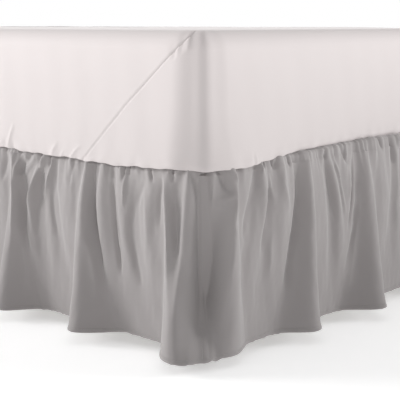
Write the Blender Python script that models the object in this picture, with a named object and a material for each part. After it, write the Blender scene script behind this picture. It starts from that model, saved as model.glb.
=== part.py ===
"""A gathered bed skirt on a twin bed: three panels that hang from a flat platform
cloth, between a plain base on six legs and a mattress in its sheet.

Metres, Z up, origin on the floor under the middle of the whole thing. The head of the
bed is toward +Y. The skirt covers the left side (-X), the foot (-Y) and the right side.
Places along the skirt are given as u, the length along the base's edge: 0 in the middle
of the left foot corner, growing along the foot toward +X, and negative along the left
side toward the head.
"""

import math
import random
from typing import NamedTuple

import bmesh
import bpy
import numpy as np

# The bed
BED_WIDTH = 0.990
BED_LENGTH = 1.905
BED_BACK = 0.058  # the bed stands back by half the foot folds' reach
CORNER_RADIUS = 0.080
BASE_BOTTOM = 0.170
BASE_TOP = 0.390
BASE_EDGE = 0.010
MATTRESS_THICK = 0.266
MATTRESS_LOW_ROUND = 0.015
MATTRESS_TOP_ROUND = 0.042
MATTRESS_CROWN = 0.004
MATTRESS_SWELL = 0.003  # the sides stand out by this between the round edges
MATTRESS_SIDE = (0.35, 0.62)  # shares of the thickness between which the side is fullest
# Columns: inset from the bed's edge, depth under the crown
CROWN_ROWS = ((0.130, 0.0012), (0.220, 0.0))
LEG_RADIUS = 0.026
LEG_FOOT_RADIUS = 0.021
LEG_INSET = 0.095
LEG_SIDES = 24
GAP = 0.0003  # between pieces that touch

# The skirt
CLOTH_THICK = 0.0015
HEADING_INSET = 0.016  # the heading seam lies this far inside the base's edge
HEAD_STOP = 0.010  # the side panels end this far short of the head
COLUMN_STEP = 0.0150
FLOOR_CLEAR = 0.0045  # least distance of the cloth from the base's side
FLOOR_SOFT = 0.004
SEED = 27

LEFT_STRAIGHT = BED_LENGTH - CORNER_RADIUS - HEAD_STOP
ARC = math.pi / 2 * CORNER_RADIUS
FOOT_STRAIGHT = BED_WIDTH - 2 * CORNER_RADIUS
U_START = -(LEFT_STRAIGHT + ARC / 2)
U_CORNER = FOOT_STRAIGHT + ARC
U_END = U_CORNER + ARC / 2 + LEFT_STRAIGHT


class Row(NamedTuple):
    """One row of the hanging cloth: its place down the cloth from the heading seam,
    and for the rows that roll over the base's edge, where they lie and which way a
    gather pushes them."""

    down: float
    out: float
    rise: float
    push_out: float
    push_up: float
    gather: float


# Columns: down, out, rise, push_out, push_up, gather
HEADING_ROWS = (
    Row(0.0000, -0.0160, 0.00105, 0.0, 0.0, 0.0),
    Row(0.0100, -0.0060, 0.00170, 0.3, 0.5, 0.30),
    Row(0.0205, 0.0030, -0.0040, 0.8, 0.6, 0.75),
    Row(0.0330, 0.0075, -0.0160, 1.0, 0.1, 1.0),
)
HANGING_ROWS = (0.055, 0.090, 0.135, 0.190, 0.250, 0.320, 0.384)
SWING = 0.5  # share of a fold's reach that lifts its hem
CORNER_SAG = 0.010  # the corners' folds hang this much lower at the hem
SAG_WIDE = 0.060

# The cloth's fall between folds: how far out it hangs at each depth
FALL_DEPTHS = (0.02, 0.10, 0.22, 0.39)
FALL_SIDE = (0.0085, 0.0110, 0.0130, 0.0150)
FALL_FOOT = (0.0085, 0.0160, 0.0260, 0.0380)
FOOT_START = 0.020  # the foot's fall begins this far back round its corners
FOOT_BLEND = 0.100

FOLD_DEPTHS = (0.03, 0.11, 0.21, 0.37)


class Fold(NamedTuple):
    """A ridge, or a valley where out is negative, at the four depths."""

    along: tuple
    out: tuple
    wide: tuple


# Columns: along (u), out, wide, each at the four depths. From the left side to the foot
NEAR_FOLDS = (
    Fold((-0.662, -0.655, -0.650, -0.640), (-0.004, -0.006, -0.004, 0.0), (0.010, 0.014, 0.020, 0.030)),
    Fold((-0.615, -0.605, -0.600, -0.590), (0.003, 0.005, 0.003, 0.0), (0.014, 0.018, 0.022, 0.030)),
    Fold((-0.556, -0.541, -0.540, -0.518), (0.007, 0.018, 0.033, 0.082), (0.012, 0.019, 0.028, 0.046)),
    Fold((-0.528, -0.516, -0.500, -0.470), (-0.005, -0.007, -0.005, 0.0), (0.009, 0.011, 0.015, 0.030)),
    Fold((-0.440, -0.482, -0.488, -0.470), (0.005, 0.011, 0.010, 0.001), (0.009, 0.012, 0.015, 0.030)),
    Fold((-0.462, -0.455, -0.452, -0.430), (-0.003, -0.005, -0.004, 0.0), (0.008, 0.011, 0.015, 0.025)),
    Fold((-0.408, -0.414, -0.397, -0.380), (-0.005, -0.008, -0.006, 0.0), (0.009, 0.013, 0.018, 0.030)),
    Fold((-0.352, -0.362, -0.356, -0.345), (0.003, 0.006, 0.004, 0.0), (0.018, 0.022, 0.028, 0.030)),
    Fold((-0.293, -0.303, -0.300, -0.266), (0.008, 0.018, 0.032, 0.080), (0.012, 0.018, 0.027, 0.046)),
    Fold((-0.282, -0.284, -0.270, -0.225), (-0.006, -0.009, -0.006, 0.0), (0.008, 0.011, 0.017, 0.030)),
    Fold((-0.248, -0.254, -0.246, -0.210), (0.004, 0.010, 0.010, 0.0), (0.013, 0.017, 0.024, 0.030)),
    Fold((-0.218, -0.216, -0.198, -0.190), (-0.004, -0.005, -0.002, 0.0), (0.008, 0.009, 0.012, 0.020)),
    Fold((-0.190, -0.192, -0.180, -0.170), (0.003, 0.005, 0.003, 0.0), (0.012, 0.015, 0.020, 0.030)),
    Fold((-0.139, -0.156, -0.148, -0.140), (-0.004, -0.007, -0.005, 0.0), (0.010, 0.014, 0.019, 0.030)),
    Fold((-0.106, -0.113, -0.112, -0.100), (0.003, 0.005, 0.003, 0.0), (0.011, 0.013, 0.016, 0.025)),
    Fold((-0.070, -0.057, -0.047, -0.034), (0.004, 0.012, 0.025, 0.046), (0.009, 0.011, 0.015, 0.024)),
    Fold((-0.018, -0.016, -0.016, -0.018), (0.007, 0.020, 0.034, 0.052), (0.011, 0.014, 0.018, 0.026)),
    Fold((0.004, 0.007, 0.008, 0.006), (-0.008, -0.018, -0.020, -0.006), (0.008, 0.011, 0.015, 0.018)),
    Fold((0.060, 0.050, 0.040, 0.022), (0.006, 0.018, 0.032, 0.050), (0.012, 0.015, 0.020, 0.033)),
    Fold((0.137, 0.122, 0.086, 0.060), (-0.003, -0.006, -0.004, 0.0), (0.010, 0.013, 0.016, 0.025)),
    Fold((0.152, 0.158, 0.150, 0.140), (0.005, 0.006, 0.001, 0.0), (0.010, 0.012, 0.016, 0.025)),
    Fold((0.180, 0.176, 0.150, 0.130), (0.000, -0.006, -0.006, 0.0), (0.009, 0.011, 0.016, 0.025)),
    Fold((0.214, 0.220, 0.205, 0.180), (0.004, 0.008, 0.005, 0.0), (0.013, 0.018, 0.022, 0.030)),
    Fold((0.270, 0.278, 0.250, 0.208), (-0.006, -0.012, -0.009, 0.0), (0.010, 0.013, 0.017, 0.030)),
    Fold((0.302, 0.304, 0.287, 0.243), (0.009, 0.017, 0.029, 0.062), (0.012, 0.016, 0.024, 0.043)),
    Fold((0.366, 0.388, 0.392, 0.375), (-0.004, -0.008, -0.008, 0.0), (0.009, 0.011, 0.015, 0.025)),
    Fold((0.390, 0.412, 0.420, 0.410), (0.004, 0.008, 0.005, 0.0), (0.009, 0.011, 0.014, 0.025)),
    Fold((0.448, 0.452, 0.445, 0.430), (0.003, 0.005, 0.003, 0.0), (0.012, 0.015, 0.020, 0.030)),
    Fold((0.500, 0.505, 0.488, 0.445), (-0.006, -0.011, -0.010, 0.0), (0.009, 0.011, 0.016, 0.030)),
    Fold((0.532, 0.536, 0.528, 0.480), (0.009, 0.017, 0.029, 0.074), (0.013, 0.019, 0.028, 0.046)),
    Fold((0.595, 0.606, 0.598, 0.580), (0.003, 0.006, 0.004, 0.0), (0.015, 0.020, 0.024, 0.030)),
    Fold((0.648, 0.662, 0.645, 0.620), (-0.004, -0.008, -0.006, 0.0), (0.010, 0.013, 0.020, 0.030)),
)
NEAR_START, NEAR_END = -0.69, 0.69

ROUNDNESS = 2.4  # of a fold's top: 2 is a pointed bell, and more is rounder
FOLD_LEAST = 0.006
MAIN_REACH = 0.020  # a ridge that comes out further than this guides the columns
FLANK = 1.3
GUIDE_LEAST = 0.0045
SEAM_FLAT = 0.005  # the cloth lies flat this far on each side of a corner's seam
SEAM_REACH = 0.020
SEAM_EASE = SEAM_REACH / (SEAM_REACH - SEAM_FLAT)

# The folds out of the photo's sight carry on in the same rhythm
PITCH, PITCH_SPREAD = 0.235, 0.028
HEAD_MARGIN = 0.020  # no fold starts nearer to the head end
CORNER_MARGINS = (0.060, 0.130)  # the rhythm stops this far before and after the far corner
RIDGE_DRIFT = 0.022
RIDGE_TALL = (0.9, 1.1)
RIDGE_SHARES = (0.0, 0.6, 0.8, 1.0)  # of its drift, at the four depths
RIDGE_OUT = (0.008, 0.026, 0.047, 0.076)
RIDGE_WIDE = (0.012, 0.019, 0.031, 0.050)
MINOR_DRIFT = 0.010
MINOR_DEEP = (0.6, 1.2)
MINOR_SHARES = (0.0, 0.5, 0.9, 1.0)
MINOR_OUT = (0.004, 0.007, 0.005, 0.0)
MINOR_WIDE = (0.010, 0.013, 0.018, 0.030)
# Columns: place beside its main ridge, 1 for a ridge or -1 for a valley
MINOR_PLACES = ((0.026, -1), (-0.066, 1), (0.078, -1), (0.110, 1))
CORNER_FOLDS = 0.036  # the ridges on each side of a corner's seam
CORNER_TIGHT = 0.62
CORNER_TALL = ((-1, 0.85), (1, 0.95))
CORNER_VALLEY = ((-0.006, -0.010, -0.010, -0.010), (0.008, 0.010, 0.013, 0.018))
GATHER_PITCHES = (0.052, 0.071, 0.039)
GATHER_HEIGHTS = (0.0018, 0.0014, 0.0010)
GATHER_BEND = 0.35  # turns by which a gather wanders from its even place
GATHER_BEND_RATE = 9.0
GATHER_FADE = 0.055
GATHER_MOST = 0.010  # most that a gather swells where it rolls over the base's edge


def lagrange(depth, stations):
    """Weights of the smooth curve through four stations, at this depth."""
    depth = min(max(depth, stations[0] - 0.01), stations[-1] + 0.02)
    weights = []
    for i, here in enumerate(stations):
        weight = 1.0
        for j, other in enumerate(stations):
            if i != j:
                weight *= (depth - other) / (here - other)
        weights.append(weight)
    return np.array(weights)


def ridge(rng, at, tall=1.0, tight=1.0):
    """A main ridge that starts near u = at and spreads to the hem."""
    drift = rng.uniform(-RIDGE_DRIFT, RIDGE_DRIFT)
    return Fold(
        tuple(at + drift * share for share in RIDGE_SHARES),
        tuple(tall * rng.uniform(*RIDGE_TALL) * out for out in RIDGE_OUT),
        tuple(tight * wide for wide in RIDGE_WIDE),
    )


def minor(rng, at, sign):
    """A short fold between two main ones, gone at the hem."""
    drift = rng.uniform(-MINOR_DRIFT, MINOR_DRIFT)
    deep = sign * rng.uniform(*MINOR_DEEP)
    return Fold(
        tuple(at + drift * share for share in MINOR_SHARES),
        tuple(deep * out for out in MINOR_OUT),
        MINOR_WIDE,
    )


def folds_between(rng, start, end):
    """Main ridges a pitch apart from start to end, with short folds between them."""
    count = max(1, round((end - start) / PITCH))
    step = (end - start) / count
    found = []
    for k in range(count):
        at = start + (k + 0.5) * step + rng.uniform(-PITCH_SPREAD, PITCH_SPREAD)
        found.append(ridge(rng, at))
        side = rng.choice((-1, 1))
        for offset, sign in MINOR_PLACES:
            found.append(minor(rng, at + side * offset, sign))
    return found


def far_folds():
    """The folds beyond the stretch that the table gives, the same at every run."""
    rng = random.Random(SEED)
    before, after = CORNER_MARGINS
    found = folds_between(rng, U_START + HEAD_MARGIN, NEAR_START)
    found += folds_between(rng, NEAR_END, U_CORNER - before)
    for side, tall in CORNER_TALL:
        found.append(ridge(rng, U_CORNER + side * CORNER_FOLDS, tall, CORNER_TIGHT))
    found.append(Fold((U_CORNER,) * 4, *CORNER_VALLEY))
    found += folds_between(rng, U_CORNER + after, U_END - HEAD_MARGIN)
    return found


def gather_phases():
    """A phase for each of the gathers' waves, the same at every run."""
    rng = random.Random(SEED + 1)
    return tuple(rng.uniform(0, 2 * math.pi) for _ in GATHER_PITCHES)


FOLDS = NEAR_FOLDS + tuple(far_folds())
GATHER_PHASES = gather_phases()


def foot_share(u):
    """0 on the sides and 1 along the foot, blended round the corners."""
    near = np.clip((u + FOOT_START) / FOOT_BLEND, 0, 1)
    far = np.clip((U_CORNER + FOOT_START - u) / FOOT_BLEND, 0, 1)
    share = np.minimum(near, far)
    return share * share * (3 - 2 * share)


def corner_sag(u):
    """How much lower the hem hangs at the corners."""
    return sum(CORNER_SAG * np.exp(-(((u - seam) / SAG_WIDE) ** 2)) for seam in (0.0, U_CORNER))


def fold_reach(u, depth):
    """How far out the cloth hangs from the base's side, by u, at this depth."""
    for seam in (0.0, U_CORNER):
        apart = u - seam
        near = np.abs(apart) < SEAM_REACH
        eased = np.sign(apart) * np.maximum(np.abs(apart) - SEAM_FLAT, 0) * SEAM_EASE
        u = np.where(near, seam + eased, u)
    weights = lagrange(depth, FOLD_DEPTHS)
    side = np.interp(depth, FALL_DEPTHS, FALL_SIDE)
    foot = np.interp(depth, FALL_DEPTHS, FALL_FOOT)
    reach = side + (foot - side) * foot_share(u)
    for fold in FOLDS:
        along, out, wide = (float(weights @ np.array(part)) for part in fold)
        reach = reach + out * np.exp(-(np.abs((u - along) / max(wide, FOLD_LEAST)) ** ROUNDNESS))
    fade = math.exp(-((depth / GATHER_FADE) ** 2))
    for pitch, height, phase in zip(GATHER_PITCHES, GATHER_HEIGHTS, GATHER_PHASES):
        bend = GATHER_BEND * np.sin(u * GATHER_BEND_RATE + phase)
        reach = reach + fade * height * np.sin(2 * math.pi * u / pitch + phase + bend)
    lift = reach - FLOOR_CLEAR
    return FLOOR_CLEAR + 0.5 * (lift + np.sqrt(lift * lift + FLOOR_SOFT**2))


def edge_place(u, out):
    """The plan position at u along the base's edge and this far outside it."""
    half, front = BED_WIDTH / 2, BED_BACK - BED_LENGTH / 2
    reach = CORNER_RADIUS + out
    if u < -ARC / 2:
        return -half - out, front + CORNER_RADIUS - (u + ARC / 2)
    if u <= ARC / 2:
        turn = (u + ARC / 2) / CORNER_RADIUS
        return (
            -half + CORNER_RADIUS - reach * math.cos(turn),
            front + CORNER_RADIUS - reach * math.sin(turn),
        )
    if u < U_CORNER - ARC / 2:
        return -half + CORNER_RADIUS + (u - ARC / 2), front - out
    if u <= U_CORNER + ARC / 2:
        turn = (u - U_CORNER + ARC / 2) / CORNER_RADIUS
        return (
            half - CORNER_RADIUS + reach * math.sin(turn),
            front + CORNER_RADIUS - reach * math.cos(turn),
        )
    return half + out, front + CORNER_RADIUS + (u - U_CORNER - ARC / 2)


def guides():
    """Lines down the cloth that its columns follow: the crest and both flanks of each
    main ridge, the seams at the corners and the two ends, each at the four depths."""
    lines = [np.full(4, at) for at in (U_START, U_END)]
    for seam in (0.0, U_CORNER):
        lines += [np.full(4, seam + side) for side in (-SEAM_FLAT, 0.0, SEAM_FLAT)]
    for fold in FOLDS:
        if max(fold.out) > MAIN_REACH:
            crest, flank = np.array(fold.along), FLANK * np.array(fold.wide)
            lines += [crest - flank, crest, crest + flank]
    lines = sorted((line for line in lines if U_START <= line[1] <= U_END), key=lambda n: n[1])
    kept = [lines[0]]
    for line in lines[1:]:
        seam = np.ptp(line) == 0
        if (line - kept[-1]).min() > GUIDE_LEAST:
            kept.append(line)
        elif seam:
            while (line - kept[-1]).min() <= GUIDE_LEAST and np.ptp(kept[-1]) > 0:
                kept.pop()
            kept.append(line)
    return kept


def columns_between(start, end):
    """The columns of one panel, each as its place u at the four depths."""
    lines = [np.full(4, start)]
    lines += [line for line in guides() if start + 0.001 < line.min() and line.max() < end - 0.001]
    lines.append(np.full(4, end))
    columns = [lines[0]]
    for before, after in zip(lines, lines[1:]):
        count = max(1, round((after - before).mean() / COLUMN_STEP))
        columns += [before + (after - before) * k / count for k in range(1, count + 1)]
    return np.array(columns)


def cloth_grid(start, end):
    """The rows of points of one panel, from its heading seam down to its hem."""
    columns = columns_between(start, end)
    grid = []
    heading = HEADING_ROWS[-1]
    u = columns @ lagrange(heading.down, FOLD_DEPTHS)
    calm = fold_reach(u, heading.down)
    swell = np.minimum(calm - heading.out, GATHER_MOST)
    for row in HEADING_ROWS:
        out = row.out + row.gather * row.push_out * swell
        rise = row.rise + row.gather * row.push_up * swell
        grid.append(list(zip(u, out, rise)))
    last_out, last_rise, last_down = out, rise, heading.down
    for down in HANGING_ROWS:
        u = columns @ lagrange(down, FOLD_DEPTHS)
        out = fold_reach(u, down)
        length = down - last_down
        sag = corner_sag(u)
        rise = last_rise - np.sqrt(length**2 - (SWING * (out - last_out)) ** 2)
        rise = rise - sag * length / HANGING_ROWS[-1]
        grid.append(list(zip(u, out, rise)))
        last_out, last_rise, last_down = out, rise, down
    return [[(*edge_place(u, o), BASE_TOP + r) for u, o, r in line] for line in grid]


def finish(name, points, faces, material):
    """A named object in the scene from points and faces, all facing outward."""
    mesh = bpy.data.meshes.new(name)
    mesh.from_pydata(points, [], faces)
    work = bmesh.new()
    work.from_mesh(mesh)
    bmesh.ops.recalc_face_normals(work, faces=work.faces)
    work.to_mesh(mesh)
    work.free()
    mesh.materials.append(material)
    thing = bpy.data.objects.new(name, mesh)
    bpy.context.scene.collection.objects.link(thing)
    return thing


def plain(name, colour, roughness):
    """A material of one colour."""
    material = bpy.data.materials.new(name)
    material.use_nodes = True
    shader = material.node_tree.nodes["Principled BSDF"]
    shader.inputs["Base Color"].default_value = (*colour, 1.0)
    shader.inputs["Roughness"].default_value = roughness
    return material


def skirt_panel(name, start, end, material):
    """One gathered panel, a sheet of even thickness on its middle surface."""
    grid = cloth_grid(start, end)
    wide = len(grid[0])
    points = [point for line in grid for point in line]
    faces = [
        (i * wide + j, i * wide + j + 1, (i + 1) * wide + j + 1, (i + 1) * wide + j)
        for i in range(len(grid) - 1)
        for j in range(wide - 1)
    ]
    panel = finish(name, points, faces, material)
    sheet = panel.modifiers.new("Sheet", "SOLIDIFY")
    sheet.thickness = CLOTH_THICK
    sheet.offset = 0.0
    sheet.use_even_offset = True
    sheet.thickness_clamp = 1.0
    return panel


def rounded_outline(inset, steps=8):
    """The bed's outline in plan, this far inside its edge, anticlockwise."""
    radius = max(CORNER_RADIUS - inset, 0.004)
    half_x = BED_WIDTH / 2 - inset - radius
    half_y = BED_LENGTH / 2 - inset - radius
    outline = []
    corners = ((-1, -1, math.pi), (1, -1, 1.5 * math.pi), (1, 1, 0.0), (-1, 1, 0.5 * math.pi))
    for side_x, side_y, turn in corners:
        for k in range(steps + 1):
            angle = turn + k * math.pi / 2 / steps
            outline.append(
                (
                    side_x * half_x + radius * math.cos(angle),
                    BED_BACK + side_y * half_y + radius * math.sin(angle),
                )
            )
    return outline


def stacked(name, rings, material):
    """A closed solid from rings of equal count, with flat ends."""
    count = len(rings[0])
    points = [point for ring in rings for point in ring]
    faces = [tuple(range(count)), tuple((len(rings) - 1) * count + k for k in range(count))]
    for i in range(len(rings) - 1):
        for k in range(count):
            after = (k + 1) % count
            faces.append(
                (i * count + k, i * count + after, (i + 1) * count + after, (i + 1) * count + k)
            )
    return finish(name, points, faces, material)


def slab(name, rows, material):
    """A bed-shaped solid from rows of (inset, height)."""
    rings = [[(x, y, z) for x, y in rounded_outline(inset)] for inset, z in rows]
    return stacked(name, rings, material)


def arc_rows(inset, height, radius, start, end, steps):
    """Rows of (inset, height) round a quarter circle of the section."""
    rows = []
    for k in range(steps + 1):
        angle = start + (end - start) * k / steps
        rows.append((inset + radius * (1 - math.cos(angle)), height + radius * math.sin(angle)))
    return rows


def mattress(material):
    """The mattress in its sheet: sides that swell a little, round edges, a low crown."""
    bottom = BASE_TOP + 2 * GAP + CLOTH_THICK
    top = bottom + MATTRESS_THICK
    low, rim = MATTRESS_LOW_ROUND, MATTRESS_TOP_ROUND
    rows = arc_rows(MATTRESS_SWELL, bottom + low, low, -math.pi / 2, 0.0, 4)
    rows += [(0.0, bottom + share * MATTRESS_THICK) for share in MATTRESS_SIDE]
    rows += arc_rows(MATTRESS_SWELL, top - MATTRESS_CROWN - rim, rim, 0.0, math.pi / 2, 5)
    rows += [(inset, top - under) for inset, under in CROWN_ROWS]
    return slab("mattress", rows, material)


def base(material):
    """The plain box under the mattress."""
    quarter = math.pi / 2
    rows = arc_rows(0.0, BASE_BOTTOM + BASE_EDGE, BASE_EDGE, -quarter, 0.0, 3)
    rows += arc_rows(0.0, BASE_TOP - BASE_EDGE, BASE_EDGE, 0.0, quarter, 3)
    return slab("base", rows, material)


def platform(material):
    """The flat cloth between base and mattress, square at the head."""
    edge = HEADING_INSET + 2 * GAP
    half = BED_WIDTH / 2 - edge
    front = BED_BACK - BED_LENGTH / 2
    head = BED_BACK + BED_LENGTH / 2 - HEAD_STOP
    radius = CORNER_RADIUS - edge
    steps = 10
    outline = [(-half, head)]
    for side, turn in ((-1, math.pi), (1, 1.5 * math.pi)):
        for k in range(steps + 1):
            angle = turn + k * math.pi / 2 / steps
            outline.append(
                (
                    side * (half - radius) + radius * math.cos(angle),
                    front + CORNER_RADIUS + radius * math.sin(angle),
                )
            )
    outline.append((half, head))
    low = BASE_TOP + GAP
    rings = [[(x, y, z) for x, y in outline] for z in (low, low + CLOTH_THICK)]
    return stacked("platform", rings, material)


def leg(name, x, y, material):
    """A round leg, a little narrower at the floor."""
    heights = ((0.0, LEG_FOOT_RADIUS), (BASE_BOTTOM - GAP, LEG_RADIUS))
    rings = [
        [
            (
                x + radius * math.cos(2 * math.pi * k / LEG_SIDES),
                y + radius * math.sin(2 * math.pi * k / LEG_SIDES),
                z,
            )
            for k in range(LEG_SIDES)
        ]
        for z, radius in heights
    ]
    return stacked(name, rings, material)


def clear_scene():
    """Take out whatever the start-up scene holds."""
    for thing in list(bpy.data.objects):
        bpy.data.objects.remove(thing, do_unlink=True)


def main():
    """Build every piece in the order in which the bed is made up."""
    clear_scene()
    skirt_cloth = plain("skirt_cloth", (0.36, 0.34, 0.34), 0.9)
    platform_cloth = plain("platform_cloth", (0.62, 0.60, 0.58), 0.9)
    sheet_cloth = plain("sheet_cloth", (0.82, 0.76, 0.74), 0.85)
    base_cloth = plain("base_cloth", (0.70, 0.68, 0.64), 0.9)
    leg_wood = plain("leg_wood", (0.16, 0.09, 0.05), 0.5)
    legs = (
        ("foot", BED_BACK - BED_LENGTH / 2 + LEG_INSET),
        ("mid", BED_BACK),
        ("head", BED_BACK + BED_LENGTH / 2 - LEG_INSET),
    )
    for side, sign in (("left", -1), ("right", 1)):
        for place, y in legs:
            leg(f"leg_{side}_{place}", sign * (BED_WIDTH / 2 - LEG_INSET), y, leg_wood)
    base(base_cloth)
    platform(platform_cloth)
    seam = GAP / 2
    skirt_panel("skirt_left", U_START, -seam, skirt_cloth)
    skirt_panel("skirt_foot", seam, U_CORNER - seam, skirt_cloth)
    skirt_panel("skirt_right", U_CORNER + seam, U_END, skirt_cloth)
    mattress(sheet_cloth)


main()
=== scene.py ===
"""A gathered bed skirt on a made-up bed: the looks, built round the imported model.

Metres, Z up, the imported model's own frame. The head of the bed is toward +Y. Places
along the skirt are given as u, the length along the base's edge: 0 in the middle of the
left foot corner, growing along the foot toward +X, negative along the left side. Places
down the cloth are given as its length from the heading seam, called depth.
"""

from __future__ import annotations

import logging
import math
import random
from dataclasses import dataclass
from enum import Enum
from typing import Any, Callable, NamedTuple, Sequence

import bpy
import numpy as np
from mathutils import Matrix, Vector

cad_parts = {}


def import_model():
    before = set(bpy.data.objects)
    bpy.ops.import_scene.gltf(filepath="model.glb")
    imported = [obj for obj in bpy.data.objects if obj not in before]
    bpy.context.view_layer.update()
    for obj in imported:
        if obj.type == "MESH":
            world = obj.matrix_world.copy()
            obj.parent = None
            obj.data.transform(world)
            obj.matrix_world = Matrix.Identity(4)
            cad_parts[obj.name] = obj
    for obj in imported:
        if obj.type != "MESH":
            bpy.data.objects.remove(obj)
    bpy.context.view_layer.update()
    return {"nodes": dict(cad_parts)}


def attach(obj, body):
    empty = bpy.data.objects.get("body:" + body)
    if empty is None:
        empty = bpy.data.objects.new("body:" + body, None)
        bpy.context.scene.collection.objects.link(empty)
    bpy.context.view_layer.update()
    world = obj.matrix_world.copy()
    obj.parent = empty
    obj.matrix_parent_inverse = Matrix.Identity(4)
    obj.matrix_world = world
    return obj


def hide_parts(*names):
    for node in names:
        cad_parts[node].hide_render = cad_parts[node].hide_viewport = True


logging.basicConfig(level=logging.INFO, format="%(name)s: %(message)s")
LOG = logging.getLogger("bed_skirt")

BODY = "root"
CLOTH_MAP = "cloth"
SHARP_EDGE = math.radians(55)
QUARTER, TURN = math.pi / 2, 2 * math.pi
Array = np.ndarray
Floats = tuple[float, ...]
Pair = tuple[float, float]
Triple = tuple[float, float, float]
WHITE: Triple = (1.0, 1.0, 1.0)


# Small helpers


def metres(numbers: Sequence[int]) -> Floats:
    """Whole millimetres as metres."""
    return tuple(number / 1000 for number in numbers)


def smooth_through(at: Array, stations: Sequence[float], values: Sequence[float]) -> Array:
    """A smooth curve through a few stations.

    Args:
        at: where the curve is read.
        stations: rising places of the given values.
        values: the value at each station.

    Returns:
        The curve's value at each place, held level beyond the ends.
    """
    x, y = np.asarray(stations, float), np.asarray(values, float)
    slope = np.gradient(y, x)
    at = np.clip(at, x[0], x[-1])
    k = np.clip(np.searchsorted(x, at, side="right") - 1, 0, len(x) - 2)
    span = x[k + 1] - x[k]
    t = (at - x[k]) / span
    return (
        (2 * t**3 - 3 * t**2 + 1) * y[k]
        + (t**3 - 2 * t**2 + t) * span * slope[k]
        + (3 * t**2 - 2 * t**3) * y[k + 1]
        + (t**3 - t**2) * span * slope[k + 1]
    )


def ease(value: Array | float) -> Array:
    """A soft step from 0 to 1 as the value goes from 0 to 1."""
    value = np.clip(value, 0.0, 1.0)
    return value * value * (3 - 2 * value)


def bell(apart: Array, wide: Array | float) -> Array:
    """A round bump, 1 in its middle and gone a few widths away."""
    return np.exp(-((apart / wide) ** 2))


def soft_noise(
    rng: np.random.Generator,
    x: Array,
    y: Array,
    pitch: float,
    waves: int = 9,
    spread: Pair = (0.7, 1.6),
    calm: float = 1.5,
) -> Array:
    """Smooth random waves of about one pitch, from -1 to 1, the same at each run.

    Args:
        rng: the seeded source of the waves.
        x: first place of each point, in metres.
        y: second place of each point, in metres.
        pitch: the length of a wave, in metres.
        waves: how many waves are laid over each other.
        spread: the shortest and the longest of them, in pitches.
        calm: what the sum is divided by, besides the root of their number.

    Returns:
        A height for each point.
    """
    total = np.zeros(np.broadcast(x, y).shape)
    for _ in range(waves):
        turn, phase = rng.uniform(0, math.pi), rng.uniform(0, TURN)
        rate = TURN / (pitch * rng.uniform(*spread))
        total += np.sin(rate * (x * math.cos(turn) + y * math.sin(turn)) + phase)
    return total / waves**0.5 / calm


def linked(name: str, data: bpy.types.ID) -> bpy.types.Object:
    """A new object round its data.

    Args:
        name: the object's name.
        data: its mesh, lamp or camera.

    Returns:
        The object, linked to the scene.
    """
    thing = bpy.data.objects.new(name, data)
    bpy.context.scene.collection.objects.link(thing)
    return thing


def stand(thing: bpy.types.Object, place: Triple, ahead: Vector) -> None:
    """Put a lamp or a camera at a place and turn it the way it looks."""
    thing.location = place
    thing.rotation_euler = ahead.to_track_quat("-Z", "Y").to_euler()


# The bed's shape in plan


@dataclass(frozen=True)
class BedShape:
    """The sizes that the bed shares with its cloth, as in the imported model."""

    width: float = 0.990
    length: float = 1.905
    back: float = 0.058
    corner: float = 0.080
    base_top: float = 0.390
    mattress_thick: float = 0.266
    cloth_step: float = 0.0015
    gap: float = 0.0003
    head_stop: float = 0.010

    @property
    def arc(self) -> float:
        """Length of a corner's quarter turn."""
        return QUARTER * self.corner

    @property
    def side_run(self) -> float:
        """Length of a side panel's straight part."""
        return self.length - self.corner - self.head_stop

    @property
    def foot_run(self) -> float:
        """Length of the foot panel's straight part."""
        return self.width - 2 * self.corner

    @property
    def u_start(self) -> float:
        """The head end of the left panel."""
        return -(self.side_run + self.arc / 2)

    @property
    def u_corner(self) -> float:
        """The middle of the right foot corner."""
        return self.foot_run + self.arc

    @property
    def u_end(self) -> float:
        """The head end of the right panel."""
        return self.u_corner + self.arc / 2 + self.side_run

    @property
    def seams(self) -> Pair:
        """The middles of both foot corners, where the panels are seamed."""
        return 0.0, self.u_corner

    @property
    def front(self) -> float:
        """Y of the base's foot end."""
        return self.back - self.length / 2

    def plan(self, u: Array, out: Array) -> tuple[Array, Array]:
        """Plan places beside the base's edge.

        Args:
            u: places along the edge.
            out: how far outside the edge each point lies.

        Returns:
            X and Y of each point.
        """
        half, radius, bend = self.width / 2, self.corner, self.arc / 2
        near = np.clip(u, -bend, bend)
        far = np.clip(u - self.u_corner, -bend, bend)
        turn = (near + bend) / radius + (far + bend) / radius
        along_left = np.minimum(u + bend, 0)
        along_foot = np.clip(u - bend, 0, self.foot_run)
        along_right = np.maximum(u - self.u_corner - bend, 0)
        centre = np.where(turn <= QUARTER, -half + radius, half - radius)
        centre = np.where(along_foot > 0, -half + radius + along_foot, centre)
        x = centre - (radius + out) * np.cos(turn)
        y = self.front + radius - (radius + out) * np.sin(turn)
        return x, y - along_left + along_right


# Folds of the skirt


class Fold(NamedTuple):
    """A ridge, or a valley where out is negative, at the four depths."""

    along: Floats
    out: Floats
    wide: Floats


FOLD_DEPTHS = (0.03, 0.11, 0.21, 0.37)

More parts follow.
